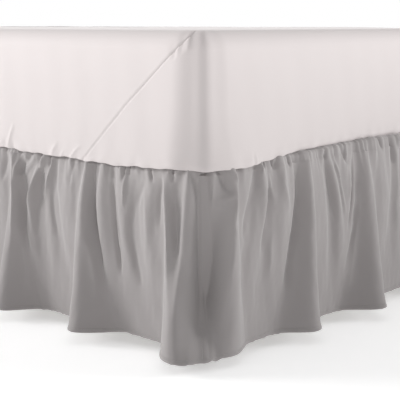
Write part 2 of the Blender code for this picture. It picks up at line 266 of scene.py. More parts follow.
# Each row is a fold near the left foot corner, in millimetres: where it is along u, how far
# out it stands and how wide it is, at the four depths each. From the left side to the foot
NEAR_FOLDS = tuple(
    Fold(*map(metres, (row[:4], row[4:8], row[8:])))
    for row in (
        (-662, -655, -650, -640, -4, -6, -4, 0, 10, 14, 20, 30),
        (-615, -605, -600, -590, 3, 5, 3, 0, 14, 18, 22, 30),
        (-556, -541, -540, -518, 7, 18, 33, 82, 12, 19, 28, 46),
        (-528, -516, -500, -470, -5, -7, -5, 0, 9, 11, 15, 30),
        (-440, -482, -488, -470, 5, 11, 10, 1, 9, 12, 15, 30),
        (-462, -455, -452, -430, -3, -5, -4, 0, 8, 11, 15, 25),
        (-408, -414, -397, -380, -5, -8, -6, 0, 9, 13, 18, 30),
        (-352, -362, -356, -345, 3, 6, 4, 0, 18, 22, 28, 30),
        (-293, -303, -300, -266, 8, 18, 32, 80, 12, 18, 27, 46),
        (-282, -284, -270, -225, -6, -9, -6, 0, 8, 11, 17, 30),
        (-248, -254, -246, -210, 4, 10, 10, 0, 13, 17, 24, 30),
        (-218, -216, -198, -190, -4, -5, -2, 0, 8, 9, 12, 20),
        (-190, -192, -180, -170, 3, 5, 3, 0, 12, 15, 20, 30),
        (-139, -156, -148, -140, -4, -7, -5, 0, 10, 14, 19, 30),
        (-106, -113, -112, -100, 3, 5, 3, 0, 11, 13, 16, 25),
        (-70, -57, -47, -34, 4, 12, 25, 46, 9, 11, 15, 24),
        (-18, -16, -16, -18, 7, 20, 34, 52, 11, 14, 18, 26),
        (4, 7, 8, 6, -8, -18, -20, -6, 8, 11, 15, 18),
        (60, 50, 40, 22, 6, 18, 32, 50, 12, 15, 20, 33),
        (137, 122, 86, 60, -3, -6, -4, 0, 10, 13, 16, 25),
        (152, 158, 150, 140, 5, 6, 1, 0, 10, 12, 16, 25),
        (180, 176, 150, 130, 0, -6, -6, 0, 9, 11, 16, 25),
        (214, 220, 205, 180, 4, 8, 5, 0, 13, 18, 22, 30),
        (270, 278, 250, 208, -6, -12, -9, 0, 10, 13, 17, 30),
        (302, 304, 287, 243, 9, 17, 29, 62, 12, 16, 24, 43),
        (366, 388, 392, 375, -4, -8, -8, 0, 9, 11, 15, 25),
        (390, 412, 420, 410, 4, 8, 5, 0, 9, 11, 14, 25),
        (448, 452, 445, 430, 3, 5, 3, 0, 12, 15, 20, 30),
        (500, 505, 488, 445, -6, -11, -10, 0, 9, 11, 16, 30),
        (532, 536, 528, 480, 9, 17, 29, 74, 13, 19, 28, 46),
        (595, 606, 598, 580, 3, 6, 4, 0, 15, 20, 24, 30),
        (648, 662, 645, 620, -4, -8, -6, 0, 10, 13, 20, 30),
    )
)


class Row(NamedTuple):
    """A row of the heading, where the cloth rolls over the base's edge."""

    depth: float
    out: float
    rise: float
    push_out: float
    push_up: float
    gather: float


HEADING = (
    Row(0.0000, -0.0160, 0.00105, 0.0, 0.0, 0.0),
    Row(0.0100, -0.0060, 0.00170, 0.3, 0.5, 0.30),
    Row(0.0205, 0.0030, -0.0040, 0.8, 0.6, 0.75),
    Row(0.0330, 0.0075, -0.0160, 1.0, 0.1, 1.0),
)


@dataclass(frozen=True)
class FoldField:
    """How far the cloth hangs out from the base all the way round."""

    bed: BedShape
    seed: int = 27
    fall_depths: Floats = (0.02, 0.10, 0.22, 0.39)
    fall_side: Floats = (0.0085, 0.0110, 0.0130, 0.0150)
    fall_foot: Floats = (0.0085, 0.0160, 0.0260, 0.0380)
    foot_early: float = 0.02
    foot_blend: float = 0.10
    depth_room: Pair = (0.01, 0.02)
    near_start: float = -0.69
    near_end: float = 0.69
    end_room: float = 0.02
    corner_room: Pair = (0.06, 0.13)
    roundness: float = 2.4
    least_wide: float = 0.006
    main_reach: float = 0.020
    flank: float = 1.3
    guide_least: float = 0.0045
    seam_flat: float = 0.005
    seam_level: float = 0.0055
    pitch: float = 0.235
    pitch_spread: float = 0.028
    ridge_drift: float = 0.022
    ridge_along: Floats = (0.0, 0.6, 0.8, 1.0)
    ridge_tall: Pair = (0.9, 1.1)
    ridge_out: Floats = (0.008, 0.026, 0.047, 0.076)
    ridge_wide: Floats = (0.012, 0.019, 0.031, 0.050)
    minor_drift: float = 0.010
    minor_along: Floats = (0.0, 0.5, 0.9, 1.0)
    minor_deep: Pair = (0.6, 1.2)
    minor_out: Floats = (0.004, 0.007, 0.005, 0.0)
    minor_wide: Floats = (0.010, 0.013, 0.018, 0.030)
    minor_places: tuple[Pair, ...] = ((0.026, -1), (-0.066, 1), (0.078, -1), (0.110, 1))
    corner_folds: float = 0.036
    corner_tall: tuple[Pair, ...] = ((-1, 0.85), (1, 0.95))
    corner_tight: float = 0.62
    valley_out: Floats = (-0.006, -0.010, -0.010, -0.010)
    valley_wide: Floats = (0.008, 0.010, 0.013, 0.018)
    base_clear: float = 0.0045
    base_soft: float = 0.004
    gather_waves: tuple[Pair, ...] = ((0.052, 0.0018), (0.071, 0.0014), (0.039, 0.0010))
    gather_bend: float = 0.35
    gather_rate: float = 9.0
    gather_fade: float = 0.055

    def weights(self, depth: float) -> Array:
        """Weights of the smooth curve through the four fold depths.

        Args:
            depth: where the curve is read.

        Returns:
            A weight for each of the four depths.
        """
        stations, (above, below) = FOLD_DEPTHS, self.depth_room
        depth = min(max(depth, stations[0] - above), stations[-1] + below)
        return np.array([
            math.prod((depth - other) / (here - other) for other in stations if other != here)
            for here in stations
        ])

    def ridge(self, rng: random.Random, at: float, tall: float = 1.0, tight: float = 1.0) -> Fold:
        """A main ridge that starts near one place and spreads to the hem.

        Args:
            rng: the seeded source of its unevenness.
            at: its place at the heading.
            tall: its height, as a share of the usual.
            tight: its width, as a share of the usual.

        Returns:
            The ridge.
        """
        drift = rng.uniform(-self.ridge_drift, self.ridge_drift)
        return Fold(
            tuple(at + drift * k for k in self.ridge_along),
            tuple(tall * rng.uniform(*self.ridge_tall) * k for k in self.ridge_out),
            tuple(tight * k for k in self.ridge_wide),
        )

    def minor(self, rng: random.Random, at: float, sign: float) -> Fold:
        """A short fold between two main ones, gone at the hem.

        Args:
            rng: the seeded source of its unevenness.
            at: its place at the heading.
            sign: 1 for a ridge and -1 for a valley.

        Returns:
            The fold.
        """
        drift = rng.uniform(-self.minor_drift, self.minor_drift)
        deep = sign * rng.uniform(*self.minor_deep)
        return Fold(
            tuple(at + drift * k for k in self.minor_along),
            tuple(deep * k for k in self.minor_out),
            self.minor_wide,
        )

    def between(self, rng: random.Random, start: float, end: float) -> list[Fold]:
        """Main ridges a pitch apart, with short folds between them.

        Args:
            rng: the seeded source of their unevenness.
            start: the first place along the edge.
            end: the last one.

        Returns:
            The folds.
        """
        count = max(1, round((end - start) / self.pitch))
        step = (end - start) / count
        found = []
        for k in range(count):
            spread = rng.uniform(-self.pitch_spread, self.pitch_spread)
            at = start + (k + 0.5) * step + spread
            found.append(self.ridge(rng, at))
            side = rng.choice((-1, 1))
            for offset, sign in self.minor_places:
                found.append(self.minor(rng, at + side * offset, sign))
        return found

    def folds(self) -> list[Fold]:
        """Every fold of the skirt.

        Returns:
            The near ones from the table and the rest in their rhythm.
        """
        rng, bed, room = random.Random(self.seed), self.bed, self.corner_room
        found = self.between(rng, bed.u_start + self.end_room, self.near_start)
        found += self.between(rng, self.near_end, bed.u_corner - room[0])
        for side, tall in self.corner_tall:
            at = bed.u_corner + side * self.corner_folds
            found.append(self.ridge(rng, at, tall, self.corner_tight))
        found.append(Fold((bed.u_corner,) * 4, self.valley_out, self.valley_wide))
        found += self.between(rng, bed.u_corner + room[1], bed.u_end - self.end_room)
        return list(NEAR_FOLDS) + found

    def foot_share(self, u: Array) -> Array:
        """0 on the sides and 1 along the foot, blended round the corners."""
        early, blend = self.foot_early, self.foot_blend
        return ease(np.minimum((u + early) / blend, (self.bed.u_corner + early - u) / blend))

    def eased(self, u: Array) -> Array:
        """The places drawn level beside the corners' seams, so that the panels meet.

        Args:
            u: places along the edge.

        Returns:
            The places to read the folds at.
        """
        for seam in self.bed.seams:
            apart = u - seam
            u = seam + apart * (1 - bell(apart, self.seam_level))
        return u

    def reach(self, u: Array, depth: float, folds: Sequence[Fold]) -> Array:
        """How far out the cloth hangs from the base's side.

        Args:
            u: places along the base's edge.
            depth: one depth down the cloth.
            folds: every fold of the skirt.

        Returns:
            The reach at each place.
        """
        u = self.eased(u)
        weights = self.weights(depth)
        side = np.interp(depth, self.fall_depths, self.fall_side)
        foot = np.interp(depth, self.fall_depths, self.fall_foot)
        reach = side + (foot - side) * self.foot_share(u)
        for fold in folds:
            along, out, wide = (float(weights @ np.array(part)) for part in fold)
            apart = np.abs((u - along) / max(wide, self.least_wide))
            reach = reach + out * np.exp(-(apart**self.roundness))
        return reach + self.gathers(u, depth)

    def gathers(self, u: Array, depth: float) -> Array:
        """The even swell of the gathers under the heading.

        Args:
            u: places along the edge.
            depth: one depth down the cloth.

        Returns:
            The height that it adds at each place.
        """
        rng = random.Random(self.seed + 1)
        fade = math.exp(-((depth / self.gather_fade) ** 2))
        total = np.zeros_like(u)
        for pitch, height in self.gather_waves:
            phase = rng.uniform(0, TURN)
            bend = self.gather_bend * np.sin(u * self.gather_rate + phase)
            total += fade * height * np.sin(TURN * u / pitch + phase + bend)
        return total

    def kept_clear(self, reach: Array) -> Array:
        """The reach, held softly off the base's side."""
        lift = reach - self.base_clear
        return self.base_clear + 0.5 * (lift + np.sqrt(lift * lift + self.base_soft**2))

    def guides(self, folds: Sequence[Fold]) -> list[Array]:
        """Lines down the cloth that its columns follow.

        Args:
            folds: every fold of the skirt.

        Returns:
            The lines from left to right, each as its place at the four depths.
        """
        bed = self.bed
        lines = [np.full(4, at) for at in (bed.u_start, bed.u_end)]
        for seam in bed.seams:
            lines += [np.full(4, seam + side) for side in (-self.seam_flat, 0.0, self.seam_flat)]
        for fold in folds:
            if max(fold.out) > self.main_reach:
                crest, flank = np.array(fold.along), self.flank * np.array(fold.wide)
                lines += [crest - flank, crest, crest + flank]
        inside = [line for line in lines if bed.u_start <= line[1] <= bed.u_end]
        inside.sort(key=lambda line: line[1])
        kept = [inside[0]]
        for line in inside[1:]:
            if (line - kept[-1]).min() > self.guide_least:
                kept.append(line)
            elif np.ptp(line) == 0:
                while (line - kept[-1]).min() <= self.guide_least and np.ptp(kept[-1]) > 0:
                    kept.pop()
                kept.append(line)
        return kept


# Finishes


def math_node(operation: str, swapped: bool = False) -> Callable[..., Value]:
    """A method that takes values through one Math node.

    Args:
        operation: the node's operation.
        swapped: whether the method's own value goes in last.

    Returns:
        The method.
    """

    def method(self: Value, *others: Value | float) -> Value:
        """What the node makes of the value and the others."""
        parts = (*others, self) if swapped else (self, *others)
        return self.tree.node("ShaderNodeMath", {"operation": operation}, *parts)

    return method


class Value:
    """A socket of a node tree that Python expressions can work on."""

    def __init__(self, tree: Tree, socket: bpy.types.NodeSocket | None) -> None:
        """Hold a socket with the tree that it belongs to."""
        self.tree, self.socket = tree, socket

    __add__ = __radd__ = math_node("ADD")
    __mul__ = __rmul__ = math_node("MULTIPLY")
    __sub__ = math_node("SUBTRACT")
    __rsub__ = math_node("SUBTRACT", swapped=True)
    power = math_node("POWER")
    sine = math_node("SINE")

    def out(self, name: str) -> Value:
        """Another output of the same node."""
        return Value(self.tree, self.socket.node.outputs[name])

    def mapped(self, reach: Pair, onto: Pair = (0.0, 1.0), how: str = "LINEAR") -> Value:
        """This value taken from one range onto another, held level beyond the ends."""
        ends = dict(zip(("From_Min", "From_Max", "To_Min", "To_Max"), reach + onto))
        return self.tree.node("ShaderNodeMapRange", {"interpolation_type": how}, Value=self, **ends)


class Tree:
    """A node tree whose nodes are made, set and linked in one call."""

    def __init__(self, tree: bpy.types.NodeTree) -> None:
        """Work on this tree."""
        self.nodes, self.links = tree.nodes, tree.links

    def node(
        self, kind: str, settings: dict[str, Any] | None = None, *places: Any, **sockets: Any
    ) -> Value:
        """Add a node.

        Args:
            kind: the node's type.
            settings: its own settings, set before its sockets.
            *places: values or links for its first sockets.
            **sockets: values or links by socket name, with _ for a space.

        Returns:
            The first output that is in use.
        """
        made = self.nodes.new(kind)
        for key, value in (settings or {}).items():
            setattr(made, key, value)
        for socket, value in zip(made.inputs, places):
            self.feed(socket, value)
        named = {s.identifier: s for s in made.inputs}
        named |= {s.name: s for s in reversed(made.inputs) if s.enabled}
        for key, value in sockets.items():
            self.feed(named.get(key) or named[key.replace("_", " ")], value)
        return Value(self, next((s for s in made.outputs if s.enabled), None))

    def feed(self, socket: bpy.types.NodeSocket, value: Any) -> None:
        """Link a value to a socket, or set the socket to it.

        Args:
            socket: the socket.
            value: another node's value or a plain one.
        """
        if isinstance(value, Value):
            self.links.new(value.socket, socket)
        else:
            socket.default_value = value

    def part(self, place: Value, axis: str) -> Value:
        """One axis of a place."""
        return self.node("ShaderNodeSeparateXYZ", Vector=place).out(axis)


class Shade(Tree):
    """A material's node tree round its one shader."""

    def __init__(self, name: str) -> None:
        """Start a new material.

        Args:
            name: the material's name.
        """
        self.material = bpy.data.materials.new(name)
        self.material.use_nodes = True
        super().__init__(self.material.node_tree)
        self.shader = self.nodes["Principled BSDF"]

    def place(self) -> Value:
        """The place of each point in its object's own frame."""
        return self.node("ShaderNodeTexCoord").out("Object")

    def blend(self, share: Value, first: Any, second: Any) -> Value:
        """A colour between two colours."""
        ends = {"Factor_Float": share, "A_Color": first, "B_Color": second}
        return self.node("ShaderNodeMix", {"data_type": "RGBA"}, **ends)

    def stretched(self, place: Value, scale: Triple) -> Value:
        """A place with each of its axes scaled."""
        return self.node("ShaderNodeVectorMath", {"operation": "MULTIPLY"}, place, scale)

    def noise(self, place: Value, scale: float, detail: float = 2.0) -> Value:
        """Soft random values from 0 to 1."""
        return self.node("ShaderNodeTexNoise", Vector=place, Scale=scale, Detail=detail)

    def bump(
        self, height: Value, strength: float, distance: float, under: Value | None = None
    ) -> Value:
        """A normal from a height, over another normal where one is given."""
        sockets = {"Height": height, "Strength": strength, "Distance": distance}
        return self.node("ShaderNodeBump", **sockets, **({"Normal": under} if under else {}))

    def finish(self, fixed: dict[str, Any], **varied: Value) -> bpy.types.Material:
        """Set the shader's fixed sockets and link those that vary.

        Args:
            fixed: plain values by socket name.
            **varied: values by socket name, with _ for a space.

        Returns:
            The finished material.
        """
        for key, value in (fixed | varied).items():
            self.feed(self.shader.inputs[key.replace("_", " ")], value)
        return self.material


def rgba(colour: Triple, light: float = 1.0) -> tuple[float, float, float, float]:
    """A colour, made lighter or darker, with its alpha."""
    return (*(min(part * light, 1.0) for part in colour), 1.0)


@dataclass(frozen=True)
class WovenCloth:
    """Plain-woven cloth: threads over and under, uneven yarn, a slight bloom."""

    name: str
    colour: Triple
    thread: float = 0.00055
    yarn_rate: float = 900.0
    yarn_long: float = 0.03
    cloud_rate: float = 14.0
    slub: float = 0.05
    mottle: float = 0.04
    shades: Pair = (0.86, 1.14)
    weave_depth: float = 0.00010
    rumple: float = 0.0005
    rumple_size: float = 0.020
    roughness: float = 0.86
    sheen: float = 0.4
    sheen_roughness: float = 0.45
    specular: float = 0.25

    def build(self) -> bpy.types.Material:
        """Make the material on the cloth's own map.

        Returns:
            The material.
        """
        shade = Shade(self.name)
        place = shade.node("ShaderNodeUVMap", {"uv_map": CLOTH_MAP})
        across, down = shade.part(place, "X"), shade.part(place, "Y")
        rate = math.pi / self.thread
        warp, weft = (across * rate).sine(), (down * rate).sine()
        weave = (warp * weft) * 0.5 + 0.5
        yarn_down, yarn_across = (
            shade.noise(shade.stretched(place, scale), self.yarn_rate, 1.0)
            for scale in ((1.0, self.yarn_long, 1.0), (self.yarn_long, 1.0, 1.0))
        )
        yarn = (yarn_down + yarn_across) * 0.5
        cloud = shade.noise(place, self.cloud_rate, 3.0)
        uneven = (yarn - 0.5) * (4 * self.slub) + (cloud - 0.5) * (2 * self.mottle)
        tone = uneven + weave * 0.05 + 0.475
        colour = shade.blend(tone, *(rgba(self.colour, light) for light in self.shades))
        rough = self.roughness + (yarn - 0.5) * 0.12 + (weave - 0.5) * 0.04
        rumpled = shade.noise(shade.stretched(place, (1.0, 0.6, 1.0)), 1 / self.rumple_size, 3.0)
        soft = shade.bump(rumpled, 0.5, self.rumple)
        woven = shade.bump(weave * 0.6 + yarn * 0.6, 0.35, self.weave_depth, soft)
        fixed = {
            "Sheen Weight": self.sheen,
            "Sheen Roughness": self.sheen_roughness,
            "Specular IOR Level": self.specular,
        }
        return shade.finish(fixed, Base_Color=colour, Roughness=rough, Normal=woven)


@dataclass(frozen=True)
class CoverCloth:
    """The base's coarser cover, on places in the object's own frame."""

    name: str
    colour: Triple
    pitch: float = 0.0016
    yarn_rate: float = 420.0
    cloud_rate: float = 9.0
    shades: Pair = (0.72, 1.22)
    bump: float = 0.0003
    roughness: float = 0.9

    def build(self) -> bpy.types.Material:
        """Make the material on Object coordinates.

        Returns:
            The material.
        """
        shade = Shade(self.name)
        place = shade.place()
        rate = TURN / self.pitch
        x, y, z = (shade.part(place, axis) * rate for axis in "XYZ")
        weave = ((x + y).sine() * z.sine() + (x - y).sine() * 0.6) * 0.3 + 0.5
        yarn = shade.noise(shade.stretched(place, (1.0, 1.0, 0.12)), self.yarn_rate)
        cloud = shade.noise(place, self.cloud_rate, 3.0)
        tone = weave * 0.35 + yarn * 0.45 + cloud * 0.2
        colour = shade.blend(tone, *(rgba(self.colour, light) for light in self.shades))
        normal = shade.bump(weave * 0.5 + yarn, 0.5, self.bump)
        rough = self.roughness + (yarn - 0.5) * 0.1
        fixed = {"Sheen Weight": 0.2, "Specular IOR Level": 0.2}
        return shade.finish(fixed, Base_Color=colour, Roughness=rough, Normal=normal)


@dataclass(frozen=True)
class TurnedWood:
    """Stained hardwood with its grain upright."""

    name: str
    light: Triple = (0.205, 0.105, 0.052)
    dark: Triple = (0.070, 0.032, 0.016)
    grain_long: float = 0.06
    grain_rate: float = 22.0
    ring_rate: float = 900.0
    ring_wander: float = 26.0
    pore_long: float = 0.03
    pore_rate: float = 1500.0
    pore_span: Pair = (0.56, 0.70)
    bump: float = 0.0002
    roughness: float = 0.42

    def build(self) -> bpy.types.Material:
        """Make the material on Object coordinates.

        Returns:
            The material.
        """
        shade = Shade(self.name)
        place = shade.place()
        drawn = shade.stretched(place, (1.0, 1.0, self.grain_long))
        wander = shade.noise(drawn, self.grain_rate, 4.0)
        x = shade.part(place, "X")
        rings = ((x * self.ring_rate + wander * self.ring_wander).sine() * 0.5 + 0.5).power(1.6)
        speckle = shade.noise(shade.stretched(place, (1.0, 1.0, self.pore_long)), self.pore_rate)
        pores = speckle.mapped(self.pore_span, how="SMOOTHSTEP")
        tone = rings * 0.6 + wander * 0.4
        stain = shade.blend(tone, rgba(self.dark), rgba(self.light))
        colour = shade.blend(pores * 0.7, stain, rgba(self.dark, 0.5))
        rough = self.roughness + pores * 0.25 + (wander - 0.5) * 0.12
        normal = shade.bump(1 - pores, 0.4, self.bump)
        fixed = {"Coat Roughness": 0.25, "Coat Weight": 0.25}
        return shade.finish(fixed, Base_Color=colour, Roughness=rough, Normal=normal)


class Finishes:
    """The materials of the whole bed, each made once."""

    def __init__(self) -> None:
        """Make them."""
        self.skirt = WovenCloth("skirt_weave", (0.338, 0.316, 0.314), sheen=0.3).build()
        self.thread = WovenCloth("hem_thread", (0.450, 0.432, 0.430), mottle=0.01).build()
        self.sheet = WovenCloth(
            "sheet_weave", (0.598, 0.552, 0.547), thread=0.0004, slub=0.02, mottle=0.015,
            rumple=0.0004, rumple_size=0.05, sheen=0.15, roughness=0.72,
        ).build()
        self.platform = WovenCloth(
            "platform_weave", (0.60, 0.585, 0.565), thread=0.0009, slub=0.06, sheen=0.1
        ).build()
        self.base = CoverCloth("base_cover", (0.46, 0.43, 0.385)).build()
        self.wood = TurnedWood("leg_stain").build()


# Finer form, over the folds that the solids have


class Crease(NamedTuple):
    """A soft trough, or a thin ridge where rise is positive, along a line on the cloth."""

    path: tuple[Pair, ...]
    rise: float
    wide: float
    sharp: float = 1.5


def creases(*rows: tuple[int, ...]) -> tuple[Crease, ...]:
    """Creases from whole numbers.

    Args:
        *rows: for each crease its rise and half width in tenths of a millimetre, then the
            points of its line in millimetres, two numbers each.

    Returns:
        The creases.
    """
    return tuple(
        Crease(tuple(zip(metres(row[2::2]), metres(row[3::2]))), row[0] / 10000, row[1] / 10000)
        for row in rows
    )


def crease_height(crease: Crease, x: Array, y: Array, taper: float = 0.6) -> Array:
    """The height that one crease adds at each point.

    Args:
        crease: the line, its height and its half width.
        x: first place of each point.
        y: second place of each point.
        taper: how suddenly both ends run out, 0 at once and 1 slowly.

    Returns:
        The height, tapered to nothing at both ends of the line.
    """
    points = np.array(crease.path)
    steps = np.diff(points, axis=0)
    lengths = np.maximum(np.hypot(steps[:, 0], steps[:, 1]), 1e-6)
    starts = np.concatenate([[0.0], np.cumsum(lengths)])
    best, share = np.full(x.shape, 1e9), np.zeros(x.shape)
    for start, origin, step, length in zip(starts, points, steps, lengths):
        t = np.clip(((x - origin[0]) * step[0] + (y - origin[1]) * step[1]) / length**2, 0, 1)
        gone = np.hypot(x - origin[0] - t * step[0], y - origin[1] - t * step[1])
        nearer = gone < best
        best = np.where(nearer, gone, best)
        share = np.where(nearer, (start + t * length) / starts[-1], share)
    ends = np.sin(math.pi * np.clip(share, 0.0, 1.0)) ** taper
    return crease.rise * ends * np.exp(-((best / crease.wide) ** crease.sharp))


@dataclass(frozen=True)
class Puckers:
    """The close gathers that the heading seam draws up, uneven in pitch and length."""

    seed: int = 411
    pitch: Pair = (0.005, 0.013)
    height: Pair = (0.0018, 0.0052)
    length: Pair = (0.014, 0.070)
    wide: float = 0.0034
    wide_share: Pair = (0.6, 1.4)
    wide_depth: float = 0.06
    drift: float = 0.10
    bow: float = 1.2
    reach: float = 0.04
    beyond: float = 0.02
    ridge_sharp: float = 2.0
    valley_sharp: float = 1.3

    def height_at(self, u: Array, depth: Array) -> Array:
        """The height of the puckers at each point of the cloth.

        Args:
            u: places along the edge, rows by columns.
            depth: depths down the cloth, of the same shape.

        Returns:
            The height that they add.
        """
        rng = random.Random(self.seed)
        total = np.zeros_like(u)
        at, end = float(u.min()) - self.beyond, float(u.max()) + self.beyond
        while at < end:
            sign = 1 if rng.random() < 0.5 else -1
            tall = rng.uniform(*self.height) * sign
            long = rng.uniform(*self.length)
            lean = rng.uniform(-self.drift, self.drift)
            bow = rng.uniform(-self.bow, self.bow)
            wide = self.wide * rng.uniform(*self.wide_share)
            columns = np.flatnonzero(np.abs(u[0] - at) < self.reach)
            if len(columns):
                chosen = slice(columns[0], columns[-1] + 1)
                d = depth[:, chosen]
                centre = at + lean * d + bow * d * d
                apart = np.abs(u[:, chosen] - centre) / (wide * (1 + d / self.wide_depth))
                sharp = self.ridge_sharp if sign > 0 else self.valley_sharp
                total[:, chosen] += tall * bell(d, long) * np.exp(-(apart**sharp))
            at += rng.uniform(*self.pitch)
        return total


# Places are u and depth, read off the skirt as it hangs: the left side first, then the foot
SKIRT_CREASES = creases(
    (44, 50, -556, 20, -549, 56, -536, 122, -530, 177, -527, 260),
    (-51, 70, -569, 22, -583, 58, -597, 104),
    (-72, 60, -532, 85, -520, 140, -513, 180, -503, 250),
    (44, 35, -516, 18, -530, 44, -537, 65, -536, 96),
    (-102, 50, -486, 18, -501, 42, -520, 57, -528, 70, -525, 84),
    (44, 35, -528, 86, -515, 76, -496, 60, -476, 36),
    (72, 55, -434, 18, -452, 49, -470, 88, -489, 129, -503, 168),
    (56, 60, -503, 150, -499, 200, -480, 256),
    (-54, 70, -450, 54, -464, 110, -472, 158, -472, 214),
    (-84, 44, -425, 20, -428, 54),
    (50, 38, -411, 18, -424, 58, -436, 91, -448, 130),
    (36, 35, -449, 130, -453, 104, -456, 72),
    (-88, 60, -400, 16, -409, 57, -414, 92, -424, 128),
    (-54, 65, -424, 110, -420, 160, -405, 214),
    (-47, 60, -342, 20, -349, 53, -356, 88),
    (-106, 60, -276, 18, -282, 56, -281, 100, -276, 150, -256, 220, -238, 290),
    (100, 110, -281, 40, -291, 120, -285, 190, -258, 260, -232, 350),
    (80, 110, -540, 60, -524, 120, -520, 190, -500, 260, -478, 350),
    (-84, 40, -225, 18, -223, 60),
    (-120, 45, -225, 62, -221, 108, -217, 147, -208, 205, -196, 260),
    (47, 38, -213, 76, -209, 130, -202, 205),
    (-75, 40, -185, 24, -191, 62),
    (-71, 37, -175, 18, -174, 48),
    (44, 40, -181, 30, -184, 72, -187, 116),
    (-67, 65, -128, 56, -142, 84, -160, 112, -171, 150),
    (-64, 80, -170, 130, -168, 180, -155, 226, -136, 280),
    (-75, 40, -117, 22, -102, 56),
    (32, 80, -124, 66, -117, 137, -113, 200),
    (-71, 37, -56, 16, -51, 48),
    (-60, 60, -77, 44, -86, 92, -86, 146),
    (52, 40, -70, 44, -57, 103, -52, 150, -46, 226, -36, 310),
    (-64, 65, -40, 36, -47, 82, -45, 127, -37, 190),
    (60, 50, -22, 22, -25, 79, -28, 150, -28, 300),
    (-100, 45, -20, 16, -12, 45, -4, 68, 1, 110),
    (-93, 42, 21, 10, 10, 32, 5, 55, 2, 100),
    (-200, 150, 0, 30, -1, 90, -1, 160, -2, 240, -3, 340),
    (-130, 100, 10, 60, 13, 130, 14, 190, 11, 300, 8, 370),
    (60, 38, 23, 10, 20, 45, 20, 80, 17, 130),
    (-102, 50, 32, 6, 33, 27, 40, 44, 50, 72),
    (47, 35, 52, 17, 55, 26, 60, 40, 69, 62),
    (36, 30, 33, 84, 44, 80, 58, 75),
    (72, 48, 62, 54, 53, 100, 47, 128, 47, 156),
    (60, 60, 48, 140, 41, 189, 34, 226, 22, 320),
    (-74, 90, 31, 96, 29, 149, 23, 200, 14, 280),
    (-110, 85, 146, 16, 134, 58, 118, 93, 100, 128, 84, 170),
    (44, 35, 149, 14, 152, 50),
    (-74, 70, 184, 70, 170, 121, 158, 159, 143, 210),
    (47, 40, 177, 46, 190, 100),
    (-78, 37, 166, 10, 160, 34),
    (-78, 37, 194, 10, 195, 40),
    (-84, 40, 246, 10, 251, 40),
    (-66, 37, 212, 10, 199, 40),
    (45, 90, 222, 18, 216, 73, 236, 136),
    (35, 80, 180, 166, 168, 214, 160, 270),
    (-83, 72, 260, 14, 271, 33, 279, 66, 281, 108, 271, 151, 252, 200),
    (-54, 80, 259, 180, 236, 237, 212, 300),
    (-84, 42, 370, 10, 385, 20, 380, 40),
    (-96, 60, 376, 20, 392, 79, 402, 123, 409, 180),
    (60, 40, 403, 18, 421, 68, 432, 116, 443, 170),
    (-90, 50, 438, 10, 448, 30, 462, 58),
    (-104, 55, 486, 10, 490, 24, 488, 56, 488, 107, 474, 159, 452, 206),
    (47, 50, 468, 60, 460, 140),
    (-58, 90, 500, 150, 485, 208, 440, 290),
    (100, 120, 508, 30, 512, 110, 500, 180, 474, 250, 436, 340),
    (60, 90, 286, 60, 286, 110, 270, 180, 240, 250, 214, 330),
    (45, 90, 110, 18, 260, 16, 440, 16, 720, 16),
    (-84, 42, 598, 8, 612, 34),
    (-93, 50, 648, 10, 657, 32, 661, 74),
    (47, 35, 672, 10, 691, 42),
)


class Side(Enum):
    """The three panels of the skirt."""

    LEFT = "left"
    FOOT = "foot"
    RIGHT = "right"


def grid(rows: int, columns: int) -> Array:
    """The point numbers of a grid."""
    return np.arange(rows * columns).reshape(rows, columns)


def mesh_object(name: str, points: Array, faces: Sequence[Any], uv: Array) -> bpy.types.Object:
    """A smooth-shaded object with its own cloth map.

    Args:
        name: the piece's name.
        points: its points.
        faces: its faces, as point numbers, facing outward.
        uv: the place of each point on the flat cloth, in metres.

    Returns:
        The new object, linked to the scene.
    """
    mesh = bpy.data.meshes.new(name)
    mesh.from_pydata(points.tolist(), [], faces)
    layer = mesh.uv_layers.new(name=CLOTH_MAP)
    corner = np.empty(len(mesh.loops), np.int32)
    mesh.loops.foreach_get("vertex_index", corner)
    layer.data.foreach_set("uv", uv[corner].astype(np.float32).ravel())
    mesh.shade_smooth()
    mesh.set_sharp_from_angle(angle=SHARP_EDGE)
    return linked(name, mesh)


@dataclass
class SheetMesh:
    """A sheet with two faces and closed edges, from its middle surface.

    Its rows run down the cloth and its columns across, to the right as seen from outside.
    """

    name: str
    middle: Array
    thick: Array
    uv: Array

    def normals(self) -> Array:
        """The outward unit normal at each point of the middle surface."""
        normal = np.cross(np.gradient(self.middle, axis=0), np.gradient(self.middle, axis=1))
        return normal / np.maximum(np.linalg.norm(normal, axis=2, keepdims=True), 1e-12)

    def build(self) -> bpy.types.Object:
        """Make the closed mesh and its object.

        Returns:
            The object.
        """
        rows, columns, _ = self.middle.shape
        half = self.normals() * self.thick[..., None] / 2
        outer, inner = self.middle + half, self.middle - half
        points = np.concatenate([outer.reshape(-1, 3), inner.reshape(-1, 3)])
        index, behind = grid(rows, columns), rows * columns
        quads = np.stack([index[:-1, :-1], index[1:, :-1], index[1:, 1:], index[:-1, 1:]], -1)
        quads = quads.reshape(-1, 4)
        rim = np.concatenate([index[0, :], index[1:, -1], index[-1, -2::-1], index[-2:0:-1, 0]])
        after = np.roll(rim, -1)
        edge = np.stack([rim, after, after + behind, rim + behind], -1)
        faces = np.concatenate([quads, quads[:, ::-1] + behind, edge]).tolist()
        return mesh_object(self.name, points, faces, np.concatenate([self.uv.reshape(-1, 2)] * 2))


